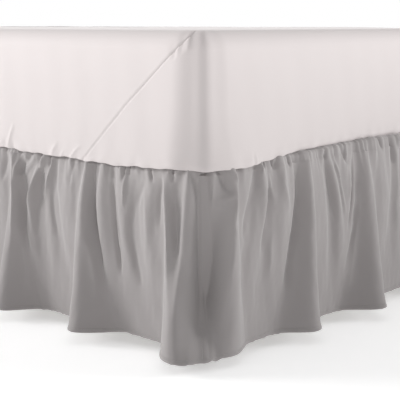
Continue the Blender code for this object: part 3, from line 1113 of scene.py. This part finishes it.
@dataclass(frozen=True)
class StitchRow:
    """A row of machine stitches along a line, as Geometry Nodes."""

    name: str
    pitch: float = 0.0030
    length: float = 0.0021
    width: float = 0.00055

    def group(self) -> bpy.types.GeometryNodeTree:
        """The node group that lays one stitch at each step of the line.

        Returns:
            The group, with the line, the stitches' sizes and the thread as its inputs.
        """
        group = bpy.data.node_groups.new(self.name, "GeometryNodeTree")
        sizes = {"Pitch": self.pitch, "Length": self.length, "Width": self.width}
        kinds = {"Line": "Geometry"} | dict.fromkeys(sizes, "Float") | {"Thread": "Material"}
        for name, kind in kinds.items():
            made = group.interface.new_socket(
                name, in_out="INPUT", socket_type=f"NodeSocket{kind}"
            )
            if name in sizes:
                made.default_value = sizes[name]
        group.interface.new_socket("Stitches", in_out="OUTPUT", socket_type="NodeSocketGeometry")
        tree = Tree(group)
        given = tree.node("NodeGroupInput")
        pitch, length, width, thread = map(given.out, (*sizes, "Thread"))
        line = tree.node("GeometryNodeMeshToCurve", Mesh=given.out("Line"))
        steps = tree.node(
            "GeometryNodeResampleCurve", {"mode": "LENGTH"}, Curve=line, Length=pitch
        )
        tangent = tree.node("GeometryNodeInputTangent")
        turned = tree.node("FunctionNodeAlignRotationToVector", {"axis": "X"}, Vector=tangent)
        bead = tree.node("GeometryNodeMeshIcoSphere", Radius=0.5, Subdivisions=1)
        size = tree.node("ShaderNodeCombineXYZ", X=length, Y=width, Z=width)
        laid = tree.node(
            "GeometryNodeInstanceOnPoints", Points=steps, Instance=bead, Rotation=turned, Scale=size
        )
        smooth = tree.node("GeometryNodeSetShadeSmooth", Geometry=laid)
        solid = tree.node("GeometryNodeRealizeInstances", Geometry=smooth)
        dyed = tree.node("GeometryNodeSetMaterial", Geometry=solid, Material=thread)
        tree.node("NodeGroupOutput", Stitches=dyed)
        return group

    def build(self, line: Array, thread: bpy.types.Material) -> bpy.types.Object:
        """Lay the stitches.

        Args:
            line: the points that the row follows.
            thread: the thread's material.

        Returns:
            The stitches as one plain mesh.
        """
        path = bpy.data.meshes.new(self.name + "_line")
        path.from_pydata(line.tolist(), [(k, k + 1) for k in range(len(line) - 1)], [])
        guide = linked(self.name + "_line", path)
        modifier = guide.modifiers.new("Stitches", "NODES")
        modifier.node_group = self.group()
        sockets = {s.name: s.identifier for s in modifier.node_group.interface.items_tree}
        modifier[sockets["Thread"]] = thread
        graph = bpy.context.evaluated_depsgraph_get()
        mesh = bpy.data.meshes.new_from_object(guide.evaluated_get(graph))
        mesh.name = self.name
        if not mesh.materials:
            mesh.materials.append(thread)
        bpy.data.objects.remove(guide, do_unlink=True)
        return linked(self.name, mesh)


@dataclass
class SkirtPanel:
    """One gathered panel of the skirt, hemmed and sewn to the platform."""

    bed: BedShape
    fall: FoldField
    folds: Sequence[Fold]
    side: Side
    seam_gap: float = 0.00005
    end_room: float = 0.001
    fine_step: float = 0.0020
    far_step: float = 0.0082
    fine_reach: float = 0.72
    drop_end: float = 0.384
    swing: float = 0.5
    slide_most: float = 0.8
    corner_sag: float = 0.010
    sag_wide: float = 0.060
    gather_most: float = 0.010
    thick: float = 0.0009
    thin_least: float = 0.0006
    hem_thick: float = 0.0030
    hem_deep: float = 0.0075
    hem_soft: float = 0.0012
    hem_rim: float = 0.45
    stitch_share: float = 0.9
    stitch_dip: float = 0.0017
    stitch_wide: float = 0.0007
    seam_turn: float = 0.0025
    seam_dip: float = 0.0006
    seam_depth: float = 0.03
    ripple: float = 0.0007
    ripple_start: float = 0.02
    ripple_rise: float = 0.08
    ripple_pitches: Pair = (0.045, 0.016)
    heading_lift: float = 0.0090
    lift_span: Pair = (0.20, 0.60)
    row_zones: tuple[tuple[float, float, int], ...] = ((0.0, 0.045, 22), (0.045, 0.110, 17))
    lower_rows: int = 44
    hem_above: float = 0.004
    hem_steps: Floats = (-0.0022, -0.0010, -0.0004, 0.0, 0.0004, 0.0010, 0.0022)
    last_rows: Floats = (0.0034, 0.0018, 0.0008, 0.0)
    seed: int = 73

    @property
    def ends(self) -> Pair:
        """Where the panel starts and ends.

        Returns:
            Both places along the edge.
        """
        bed, gap = self.bed, self.seam_gap
        return {
            Side.LEFT: (bed.u_start, -gap),
            Side.FOOT: (gap, bed.u_corner - gap),
            Side.RIGHT: (bed.u_corner + gap, bed.u_end),
        }[self.side]

    @property
    def stitch_depth(self) -> float:
        """How far above the hem's edge it is stitched."""
        return self.hem_deep * self.stitch_share

    def columns(self) -> Array:
        """The columns of the panel, close near the left foot corner.

        Returns:
            Each column's place at the four depths.
        """
        start, end = self.ends
        inner = [
            line
            for line in self.fall.guides(self.folds)
            if start + self.end_room < line.min() and line.max() < end - self.end_room
        ]
        lines = [np.full(4, start), *inner, np.full(4, end)]
        found = [lines[0]]
        for before, after in zip(lines, lines[1:]):
            near = min(abs(before.mean()), abs(after.mean())) < self.fine_reach
            step = self.fine_step if near else self.far_step
            count = max(1, round((after - before).mean() / step))
            found += [before + (after - before) * k / count for k in range(1, count + 1)]
        return np.array(found)

    def depths(self) -> Array:
        """The depths of the rows.

        Returns:
            The depths, close at the heading and at the hem.
        """
        hem = self.drop_end - self.hem_deep
        lower = (self.row_zones[-1][1], hem - self.hem_above, self.lower_rows)
        rows = [np.linspace(*zone)[min(k, 1) :] for k, zone in enumerate((*self.row_zones, lower))]
        last = self.drop_end - np.array(self.last_rows)
        return np.concatenate([*rows, hem + np.array(self.hem_steps), last])

    def sag(self, u: Array) -> Array:
        """How much lower the hem hangs at the corners."""
        return sum(self.corner_sag * bell(u - seam, self.sag_wide) for seam in self.bed.seams)

    def fine_height(self, u: Array, depth: Array) -> Array:
        """Puckers, creases and a slight unevenness, over the main folds.

        Args:
            u: places along the edge, rows by columns.
            depth: depths down the cloth, of the same shape.

        Returns:
            The height that they add.
        """
        u = self.fall.eased(u)
        total = Puckers().height_at(u, depth)
        for crease in SKIRT_CREASES:
            total += crease_height(crease, u, depth)
        rng = np.random.default_rng(self.seed)
        share = ease((depth - self.ripple_start) / self.ripple_rise)
        broad, close = self.ripple_pitches
        total += self.ripple * share * soft_noise(rng, u, depth * 0.5, broad)
        total += 0.5 * self.ripple * soft_noise(rng, u, depth, close) * share
        return total

    def middle(self) -> tuple[Array, Array, Array]:
        """The middle surface of the panel.

        Returns:
            Its points, and u and depth at each of them, rows by columns.
        """
        bed, fall = self.bed, self.fall
        columns, depths = self.columns(), self.depths()
        u = np.array([columns @ fall.weights(depth) for depth in depths])
        depth = np.repeat(depths[:, None], u.shape[1], axis=1)
        fine = self.fine_height(u, depth)
        seam = np.minimum(*(np.abs(u - at) for at in bed.seams))
        fine -= self.seam_dip * bell(seam, self.seam_turn) * ease(depth / self.seam_depth)
        steps, *sections = zip(*HEADING)
        edge = HEADING[-1]
        calm = fall.kept_clear(fall.reach(u[0], edge.depth, self.folds))
        swell = np.minimum(calm - edge.out, self.gather_most)
        start, full = self.lift_span
        lift = self.heading_lift * ease((u[0] - start) / (full - start))
        out, rise = np.zeros_like(u), np.zeros_like(u)
        for i, here in enumerate(depths):
            if here <= edge.depth:
                row = Row(here, *(float(smooth_through(here, steps, part)) for part in sections))
                push = row.gather * (swell + fine[i])
                out[i] = row.out + push * row.push_out
                rise[i] = row.rise + push * row.push_up
                rise[i] += lift * math.sin(math.pi * here / edge.depth)
                main = row.out + row.gather * swell * row.push_out
            else:
                reach = fall.kept_clear(fall.reach(u[i], here, self.folds))
                length = here - depths[i - 1]
                most = self.slide_most * length
                slide = np.clip(self.swing * (reach - main), -most, most)
                rise[i] = rise[i - 1] - np.sqrt(length**2 - slide**2)
                rise[i] -= self.sag(u[i]) * length / self.drop_end
                out[i] = fall.kept_clear(reach + fine[i])
                main = reach
        x, y = bed.plan(u, out)
        return np.stack([x, y, bed.base_top + rise], -1), u, depth

    def thickness(self, u: Array, depth: Array) -> Array:
        """The cloth's thickness: doubled in the hems, dipped where they are stitched.

        Args:
            u: places along the edge, rows by columns.
            depth: depths down the cloth, of the same shape.

        Returns:
            The thickness at each point.
        """
        head = np.minimum(np.abs(u - self.bed.u_start), np.abs(u - self.bed.u_end))
        inside = np.minimum(self.drop_end - depth, head)
        hem = ease((self.hem_deep + self.hem_soft / 2 - inside) / self.hem_soft)
        stitched = bell(inside - self.stitch_depth, self.stitch_wide)
        rounded = self.hem_rim + (1 - self.hem_rim) * ease(inside / self.hem_soft)
        thick = self.thick + (self.hem_thick - self.thick) * hem * rounded
        return np.maximum(thick - self.stitch_dip * stitched * hem, self.thin_least)

    def stitch_line(self, sheet: SheetMesh, depth: Array) -> Array:
        """Where the hem's stitches lie on the outer face, from one end to the other."""
        row = int(np.argmin(np.abs(depth[:, 0] - (self.drop_end - self.stitch_depth))))
        return sheet.middle[row] + sheet.normals()[row] * sheet.thick[row][:, None] / 2

    def build(self, finishes: Finishes) -> None:
        """Make the panel and the stitches of its hem.

        Args:
            finishes: the object's materials.
        """
        middle, u, depth = self.middle()
        across = np.linalg.norm(np.diff(middle, axis=1), axis=2)
        run = np.concatenate([np.zeros((len(middle), 1)), np.cumsum(across, axis=1)], axis=1)
        wide = float(run[:, -1].max())
        uv = np.stack([run / run[:, -1:] * wide, depth], -1)
        name = f"skirt_{self.side.value}"
        sheet = SheetMesh(f"{name}_cloth", middle, self.thickness(u, depth), uv)
        cloth = sheet.build()
        cloth.data.materials.append(finishes.skirt)
        line = self.stitch_line(sheet, depth)
        stitches = StitchRow(f"{name}_stitches").build(line, finishes.thread)
        for piece in (cloth, stitches):
            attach(piece, BODY)
            LOG.info("%s: %d faces", piece.name, len(piece.data.polygons))
        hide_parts(name)


# Mattress, platform and base


@dataclass(frozen=True)
class TuckFold:
    """A sheet's corner fold: its edge runs slanting from the mattress's foot to its top.

    The roll along the edge and the shadow beside it are each given by height, place and
    width, as shares of the lift and the edge.
    """

    seam: float
    low: float
    high: float
    lift: float = 0.0009
    edge: float = 0.0016
    reach: float = 0.070
    roll: Triple = (0.1, 1.2, 1.6)
    shadow: Triple = (-0.9, -0.9, 1.0)
    low_fade: Pair = (0.04, 0.2)
    high_fade: Pair = (0.05, 1.03)

    @property
    def side(self) -> float:
        """Which way the fold lies from its corner."""
        return math.copysign(1.0, self.low - self.seam)

    def warp(self, place: Array, share: Array, reach: float) -> Array:
        """Slide columns so that one of them runs along the fold's edge.

        Args:
            place: places along the mattress's edge.
            share: height up the side, 0 at the bottom and 1 at the top.
            reach: how far from the corner the columns are moved.

        Returns:
            The moved places.
        """
        away = (place - self.seam) * self.side
        low, high = abs(self.low - self.seam), abs(self.high - self.seam)
        edge = low + (high - low) * share
        inner = away * edge / low
        outer = edge + (away - low) * (reach - edge) / (reach - low)
        moved = np.where(away < low, inner, outer)
        return np.where((away > 0) & (away < reach), self.seam + self.side * moved, place)

    def height_at(self, place: Array, share: Array, tall: float) -> Array:
        """How far the outer layer stands proud, with its edge along the line.

        Args:
            place: places along the mattress's edge.
            share: height up the side, 0 at the bottom and 1 at the top.
            tall: the side's height.

        Returns:
            The height of the layer at each place.
        """
        line = self.low + (self.high - self.low) * share
        slant = math.hypot(abs(self.high - self.low), tall)
        past = (place - line) * self.side * tall / slant
        layer = ease(past / self.edge + 0.5) * np.where(past > 0, np.exp(-past / self.reach), 1.0)
        for height, at, wide in (self.roll, self.shadow):
            layer = layer + height * bell(past - at * self.edge, wide * self.edge)
        (low_span, start), (high_span, end) = self.low_fade, self.high_fade
        return self.lift * ease(share / low_span + start) * ease((end - share) / high_span) * layer


# Places are u and height above the mattress's underside. The first is the sheet's blunt corner
SHEET_CREASES = (
    Crease(((0.008, -0.120), (0.008, 0.390)), 0.0092, 0.0195, 2.0),
    *creases(
        (26, 40, -566, 4, -562, 30, -552, 58),
        (-16, 45, -580, 4, -578, 30),
        (-22, 35, -548, 2, -550, 24),
        (22, 40, -410, 4, -404, 20, -392, 36),
        (19, 35, -385, 2, -368, 20),
        (26, 35, -350, 4, -332, 22, -314, 34),
        (-19, 30, -338, 2, -318, 14),
        (26, 45, -302, 4, -270, 12, -240, 14),
        (-26, 50, -60, 245, -56, 205),
        (-22, 45, -40, 262, -40, 215),
        (22, 40, -26, 268, -24, 222),
        (-26, 50, -70, 6, -30, 10, 10, 8),
        (-19, 30, 126, 2, 124, 30),
        (19, 30, 134, 2, 132, 28),
        (-16, 30, 160, 2, 158, 16),
        (22, 90, 60, 4, 100, 16, 150, 14),
    ),
)

# How far the sheet's low edge hangs down and stands out: u, down and out, in millimetres
OVERHANGS = tuple(
    metres(row)
    for row in (
        (-2700, 4, 6),
        (-1900, 10, 12),
        (-1000, 14, 19),
        (-600, 17, 22),
        (-420, 20, 23),
        (-240, 22, 24),
        (-80, 19, 23),
        (0, 18, 21),
        (100, 18, 22),
        (200, 13, 12),
        (300, 4, 6),
        (400, 1, 4),
        (1900, 1, 4),
        (2700, 4, 6),
    )
)


@dataclass
class Mattress:
    """The mattress in its sheet, tucked in with a slanting fold at each foot corner."""

    bed: BedShape
    low_round: float = 0.015
    top_round: float = 0.042
    crown: float = 0.004
    swell: float = 0.003
    side_shares: Pair = (0.35, 0.62)
    crown_rows: tuple[Pair, ...] = ((0.046, 0.004), (0.130, 0.0012), (0.220, 0.0))
    crown_dip: float = 0.001
    fine_step: float = 0.0034
    far_step: float = 0.0150
    fine_reach: float = 0.72
    under_rows: int = 8
    side_rows: int = 58
    over_rows: int = 15
    top_rows: int = 16
    last_share: float = 0.9985
    under_shares: Pair = (0.6, 0.15)
    top_crowding: float = 1.5
    top_ease: Pair = (0.1, 0.25)
    fold_reach: float = 0.60
    left_fold: Pair = (-0.320, -0.006)
    right_fold: Pair = (0.335, 0.012)
    lip_start: float = 0.06
    lip_span: float = 0.50
    fall_reach: float = 0.120
    out_reach: float = 0.075
    edge_waves: tuple[Triple, ...] = ((0.05, 23, 0.0), (0.05, 61, 1.2), (0.035, 143, 0.4))
    wave: float = 0.00024
    wave_rates: tuple[int, ...] = (9, 17, 29, 41, 67)
    wave_least: float = 0.4
    wave_turn: float = 6.28
    wave_lean: float = 3.0
    calm_ends: Pair = (0.15, 0.25)
    gather: float = 0.0006
    gather_rates: tuple[int, ...] = (61, 97, 143)
    gather_share: Pair = (0.02, 0.085)
    ripples: tuple[Pair, ...] = ((0.0009, 0.21), (0.0003, 0.06))
    seed: int = 5
    name: str = "mattress_sheet"

    @property
    def bottom(self) -> float:
        """Height of the mattress's underside."""
        return self.bed.base_top + 2 * self.bed.gap + self.bed.cloth_step

    @property
    def round_length(self) -> float:
        """Length all the way round the mattress's edge."""
        straight = self.bed.width + self.bed.length - 4 * self.bed.corner
        return 2 * straight + 4 * self.bed.arc

    def folds(self) -> tuple[TuckFold, ...]:
        """The folds at the left and the right foot corner."""
        ends = zip(self.bed.seams, (self.left_fold, self.right_fold))
        return tuple(TuckFold(seam, seam + low, seam + high) for seam, (low, high) in ends)

    def outline(self, place: Array, inset: Array) -> tuple[Array, Array]:
        """Plan points on the mattress's rounded outline.

        Args:
            place: lengths round the edge from the middle of the left foot corner.
            inset: how far inside the edge each point lies.

        Returns:
            X and Y of each point.
        """
        bed = self.bed
        radius, arc = bed.corner, bed.arc
        half_x, half_y = bed.width / 2 - radius, bed.length / 2 - radius
        at = np.mod(place, self.round_length)
        x, y = np.zeros_like(at), np.zeros_like(at)
        corners = ((-1, -1), (1, -1), (1, 1), (-1, 1))
        runs = (2 * half_x, 2 * half_y, 2 * half_x, 2 * half_y)
        start, reach = -arc / 2, radius - inset
        for k in (0, 1, 2, 3, 0):
            (sign_x, sign_y), ahead = corners[k], k * QUARTER
            turn = math.pi + ahead + np.clip((at - start) / radius, 0, QUARTER)
            run = np.clip(at - start - arc, 0, runs[k])
            here = at >= start
            to_x = sign_x * half_x + reach * np.cos(turn) + run * math.cos(ahead)
            to_y = sign_y * half_y + reach * np.sin(turn) + run * math.sin(ahead)
            x, y = np.where(here, to_x, x), np.where(here, to_y, y)
            start += arc + runs[k]
        return x, y + bed.back

    def bend(self, turns: Array, radius: float, level: float) -> Array:
        """A rounded edge of the section, as rows of inset and height."""
        inset = self.swell + radius * (1 - np.cos(turns))
        return np.stack([inset, level + radius * np.sin(turns)], -1)

    def profile(self) -> Array:
        """The section up the side.

        Returns:
            Its points, as rows of inset and height.
        """
        top, low, rim = self.bottom + self.bed.mattress_thick, self.low_round, self.top_round
        first, last = self.bottom + low, top - self.crown - rim
        heights = np.linspace(first, last, self.side_rows)[1:-1]
        full = [self.bottom + share * self.bed.mattress_thick for share in self.side_shares]
        inset = smooth_through(heights, [first, *full, last], [self.swell, 0.0, 0.0, self.swell])
        return np.concatenate([
            self.bend(np.linspace(-QUARTER, 0, self.under_rows), low, first),
            np.stack([inset, heights], -1),
            self.bend(np.linspace(0, QUARTER, self.over_rows), rim, last),
        ])

    def places(self) -> Array:
        """The columns' places round the edge.

        Returns:
            The places, close near the left foot corner.
        """
        fine = np.arange(-self.fine_reach, self.fine_reach, self.fine_step)
        rest = self.round_length - 2 * self.fine_reach
        count = round(rest / self.far_step)
        return np.concatenate([fine, self.fine_reach + np.arange(count) * rest / count])

    def rings(self) -> tuple[Array, Array]:
        """The mattress's rings from the middle of its underside to the middle of its top.

        Returns:
            Their points, and the place on the flat sheet of each.
        """
        bed, places, profile = self.bed, self.places(), self.profile()

        def across(column: Array) -> Array:
            """A value of each row, given to all its points."""
            return np.repeat(column[:, None], len(places), axis=1)

        share = across((profile[:, 1] - self.bottom) / bed.mattress_thick)
        place = np.repeat(places[None], len(profile), axis=0)
        for fold in self.folds():
            place = fold.warp(place, np.clip(share, 0, 1), self.fold_reach)
        fall, out = self.overhang(place, share * bed.mattress_thick)
        x, y = self.outline(place, across(profile[:, 0]) - self.proud(place, share) - out)
        side = np.stack([x, y, across(profile[:, 1]) - fall], -1)
        shares = (self.last_share, *self.under_shares)
        under = [self.shrunk(side[0], part, self.bottom) for part in shares]
        parts = np.linspace(0, self.last_share, self.top_rows + 1)[1:]
        parts = 1 - (1 - parts) ** self.top_crowding
        over = [self.shrunk(side[-1], part, None) for part in parts]
        points = np.concatenate([under, side, over])
        up = np.linalg.norm(np.diff(points, axis=0), axis=2).mean(axis=1)
        v = across(np.concatenate([[0.0], np.cumsum(up)]))
        ends = np.repeat(place[:1], len(under), 0), np.repeat(place[-1:], len(over), 0)
        return points, np.stack([np.concatenate([ends[0], place, ends[1]]), v], -1)

    def overhang(self, place: Array, height: Array) -> tuple[Array, Array]:
        """How the low edge hangs over the skirt's heading.

        Args:
            place: places round the mattress's edge.
            height: heights above its underside.

        Returns:
            How far each point goes down and how far out.
        """
        half = self.round_length / 2
        at = np.mod(place + half, self.round_length) - half
        stations, falls, outs = zip(*OVERHANGS)
        fall, out = smooth_through(at, stations, falls), smooth_through(at, stations, outs)
        wave = sum((part * np.sin(at * rate + turn) for part, rate, turn in self.edge_waves), 1.0)
        lip = ease((height / self.low_round - self.lip_start) / self.lip_span)
        down = fall * wave * lip * ease((self.fall_reach - height) / self.fall_reach)
        return down, out * lip * bell(height, self.out_reach)

    def proud(self, place: Array, share: Array) -> Array:
        """How far the sheet stands off the mattress's side: folds, creases, slow waves.

        Args:
            place: places round the mattress's edge.
            share: height up the side, 0 at the bottom and 1 at the top.

        Returns:
            The distance at each place.
        """
        tall = self.bed.mattress_thick
        total = sum(fold.height_at(place, share, tall) for fold in self.folds())
        for crease in SHEET_CREASES:
            total = total + crease_height(crease, place, share * tall)
        rng = np.random.default_rng(self.seed)
        turn = TURN * place / self.round_length
        waves = sum(
            np.sin(k * turn + rng.uniform(0, self.wave_turn) + self.wave_lean * share)
            * rng.uniform(self.wave_least, 1)
            for k in self.wave_rates
        )
        calm = ease(share / self.calm_ends[0]) * ease((1.0 - share) / self.calm_ends[1])
        phases = rng.uniform(0, self.wave_turn, len(self.gather_rates))
        fine = sum(np.sin(k * turn + phase) for k, phase in zip(self.gather_rates, phases))
        low, high = self.gather_share
        close = bell(share, high) * ease(share / low) * fine
        return total + self.wave * waves * calm + self.gather * close

    def shrunk(self, ring: Array, part: float, height: float | None) -> Array:
        """The ring drawn in toward the mattress's middle line.

        Args:
            ring: points of the last ring of the side.
            part: 0 for the ring itself and 1 for the middle line.
            height: the level of a flat ring, or nothing to follow the crown.

        Returns:
            The new ring.
        """
        bed = self.bed
        ratio = bed.width / bed.length
        x = ring[:, 0] * (1 - part)
        y = bed.back + (ring[:, 1] - bed.back) * (1 - part * ratio)
        if height is not None:
            return np.stack([x, y, np.full_like(x, height)], -1)
        rim = self.swell + self.top_round
        inset = rim + part * (bed.width / 2 - rim)
        top = self.bottom + bed.mattress_thick - smooth_through(inset, *zip(*self.crown_rows))
        rng = np.random.default_rng(self.seed + 1)
        ripple = sum(tall * soft_noise(rng, x, y, pitch) for tall, pitch in self.ripples)
        dip, swell = (ease(part / span) for span in self.top_ease)
        z = top - self.crown_dip * dip + ripple * swell
        return np.stack([x, y, z], -1)

    def build(self, finishes: Finishes) -> None:
        """Make the mattress in its sheet.

        Args:
            finishes: the object's materials.
        """
        points, uv = self.rings()
        index = grid(*points.shape[:2])
        after = np.roll(index, -1, axis=1)
        quads = np.stack([index[:-1], after[:-1], after[1:], index[1:]], -1).reshape(-1, 4)
        faces = [*quads.tolist(), index[0][::-1].tolist(), index[-1].tolist()]
        piece = mesh_object(self.name, points.reshape(-1, 3), faces, uv.reshape(-1, 2))
        piece.data.materials.append(finishes.sheet)
        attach(piece, BODY)
        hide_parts("mattress")
        LOG.info("%s: %d faces", piece.name, len(piece.data.polygons))


@dataclass
class Platform:
    """The flat cloth between base and mattress that the skirt is sewn to."""

    bed: BedShape
    edge: float = 0.0166
    thick: float = 0.0011
    rows: int = 110
    turn_rows: int = 12
    columns: int = 60
    wave_pitch: float = 0.12
    seed: int = 11
    name: str = "platform_cloth"

    def build(self, finishes: Finishes) -> None:
        """Make the cloth.

        Args:
            finishes: the object's materials.
        """
        bed = self.bed
        radius, half = bed.corner - self.edge, bed.width / 2 - self.edge
        head, foot = bed.front + bed.length - bed.head_stop, bed.front + self.edge
        turned = foot + radius * (1 - np.cos(np.linspace(0, QUARTER, self.turn_rows)[::-1]))
        lines = np.concatenate([np.linspace(head, foot + radius, self.rows)[:-1], turned])
        into = np.clip(foot + radius - lines, 0, radius)
        wide = half - radius + np.sqrt(np.maximum(radius**2 - into**2, 0))
        across = np.linspace(-1, 1, self.columns)
        x, y = wide[:, None] * across[None], np.repeat(lines[:, None], self.columns, axis=1)
        rng = np.random.default_rng(self.seed)
        waves = soft_noise(rng, x, y, self.wave_pitch).clip(-1, 1)
        level = bed.base_top + bed.gap + bed.cloth_step / 2
        z = level + (bed.cloth_step - self.thick) / 2 * waves
        uv = np.stack([x + half, head - y], -1)
        thick = np.full(x.shape, self.thick)
        piece = SheetMesh(self.name, np.stack([x, y, z], -1), thick, uv).build()
        piece.data.materials.append(finishes.platform)
        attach(piece, BODY)
        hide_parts("platform")
        LOG.info("%s: %.2f by %.2f m", piece.name, 2 * half, head - foot)


class BedBase:
    """The plain base and its legs, whose solids stay as they are."""

    def dress(self, nodes: dict[str, bpy.types.Object], finishes: Finishes) -> None:
        """Give the carried-over solids their finishes.

        Args:
            nodes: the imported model's objects by name.
            finishes: the object's materials.
        """
        legs = [f"leg_{side}_{at}" for side in ("left", "right") for at in ("foot", "mid", "head")]
        for name in ("base", *legs):
            finish = finishes.base if name == "base" else finishes.wood
            mesh = nodes[name].data
            mesh.materials.clear()
            mesh.materials.append(finish)
            LOG.info("%s: %s", name, finish.name)


# Studio


@dataclass(frozen=True)
class SoftBox:
    """A square area light that faces a point."""

    name: str
    place: Triple
    toward: Triple
    side: float
    power: float
    spread: float

    def build(self) -> None:
        """Hang the light."""
        light = bpy.data.lights.new(self.name, "AREA")
        light.shape, light.size = "SQUARE", self.side
        light.energy, light.spread = self.power, math.radians(self.spread)
        stand(linked(self.name, light), self.place, Vector(self.toward) - Vector(self.place))


@dataclass
class Studio:
    """The plain floor, the surround, the lights and the camera."""

    sky_rise: Pair = (0.05, 0.40)
    sky_heights: Pair = (1.0, 0.66)
    sky_bright: Triple = (0.55, 0.835, 0.0)
    sky_turn: Pair = (-0.60, 0.30)
    sky_sides: Pair = (0.40, 1.0)
    floor_glow: float = 0.38
    floor_colour: Triple = (0.90, 0.90, 0.90)
    floor_shades: Pair = (0.99, 1.01)
    floor_side: float = 60.0
    lens: float = 90.0
    sensor: float = 36.0
    place: Triple = (-1.911, -2.1785, 0.666)
    yaw: float = 47.73
    pitch: float = -10.0
    boxes: tuple[SoftBox, ...] = (
        SoftBox("key_left", (-2.3, 2.7, 1.6), (-0.5, -0.3, 1.50), 1.4, 31.5, 66.0),
        SoftBox("key_right", (2.6, -3.1, 1.6), (0.0, -0.9, 1.60), 1.4, 21.5, 62.0),
        SoftBox("front_fill", (-2.7, -3.2, 1.7), (-0.45, -0.85, 1.70), 1.6, 9.5, 58.0),
    )

    def floor(self) -> None:
        """Lay a pale floor under everything."""
        half = self.floor_side / 2
        corners = [(-half, -half, 0), (half, -half, 0), (half, half, 0), (-half, half, 0)]
        mesh = bpy.data.meshes.new("floor")
        mesh.from_pydata(corners, [], [(0, 1, 2, 3)])
        shade = Shade("floor_paint")
        tone = shade.noise(shade.place(), 3.0)
        paint = shade.blend(tone, *(rgba(self.floor_colour, light) for light in self.floor_shades))
        fixed = {
            "Roughness": 0.9,
            "Specular IOR Level": 0.1,
            "Emission Color": rgba(WHITE),
            "Emission Strength": self.floor_glow,
        }
        mesh.materials.append(shade.finish(fixed, Base_Color=paint))
        floor = linked("floor", mesh)

    def sky(self) -> bpy.types.World:
        """A white surround that dims toward the top and toward the near corner.

        Returns:
            The world.
        """
        world = bpy.data.worlds.new("studio")
        world.use_nodes = True
        tree = Tree(world.node_tree)
        way = tree.node("ShaderNodeTexCoord").out("Generated")
        dot = {"operation": "DOT_PRODUCT"}
        turn = tree.node("ShaderNodeVectorMath", dot, way, self.sky_bright).out("Value")
        rise = tree.part(way, "Z").mapped(self.sky_rise, self.sky_heights)
        background = tree.nodes["Background"].inputs
        tree.feed(background["Color"], rgba(WHITE))
        tree.feed(background["Strength"], rise * turn.mapped(self.sky_turn, self.sky_sides))
        return world

    def camera(self) -> None:
        """Set up the camera at the photo's viewpoint."""
        data = bpy.data.cameras.new("camera")
        data.lens, data.sensor_width = self.lens, self.sensor
        yaw, pitch = math.radians(self.yaw), math.radians(self.pitch)
        level = math.cos(pitch)
        ahead = Vector((level * math.sin(yaw), level * math.cos(yaw), math.sin(pitch)))
        camera = linked("camera", data)
        stand(camera, self.place, ahead)
        bpy.context.scene.camera = camera

    def build(self) -> None:
        """Set up floor, surround, lights and camera."""
        self.floor()
        bpy.context.scene.world = self.sky()
        bpy.context.scene.view_settings.view_transform = "Standard"
        for box in self.boxes:
            box.build()
        self.camera()


def main() -> None:
    """Build the bed skirt and what it hangs on, in order."""
    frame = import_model()
    Studio().build()
    bed = BedShape()
    finishes = Finishes()
    BedBase().dress(frame["nodes"], finishes)
    Platform(bed).build(finishes)
    fall = FoldField(bed)
    folds = fall.folds()
    for side in Side:
        SkirtPanel(bed, fall, folds, side).build(finishes)
    Mattress(bed).build(finishes)
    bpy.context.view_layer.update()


if __name__ == "__main__":
    main()
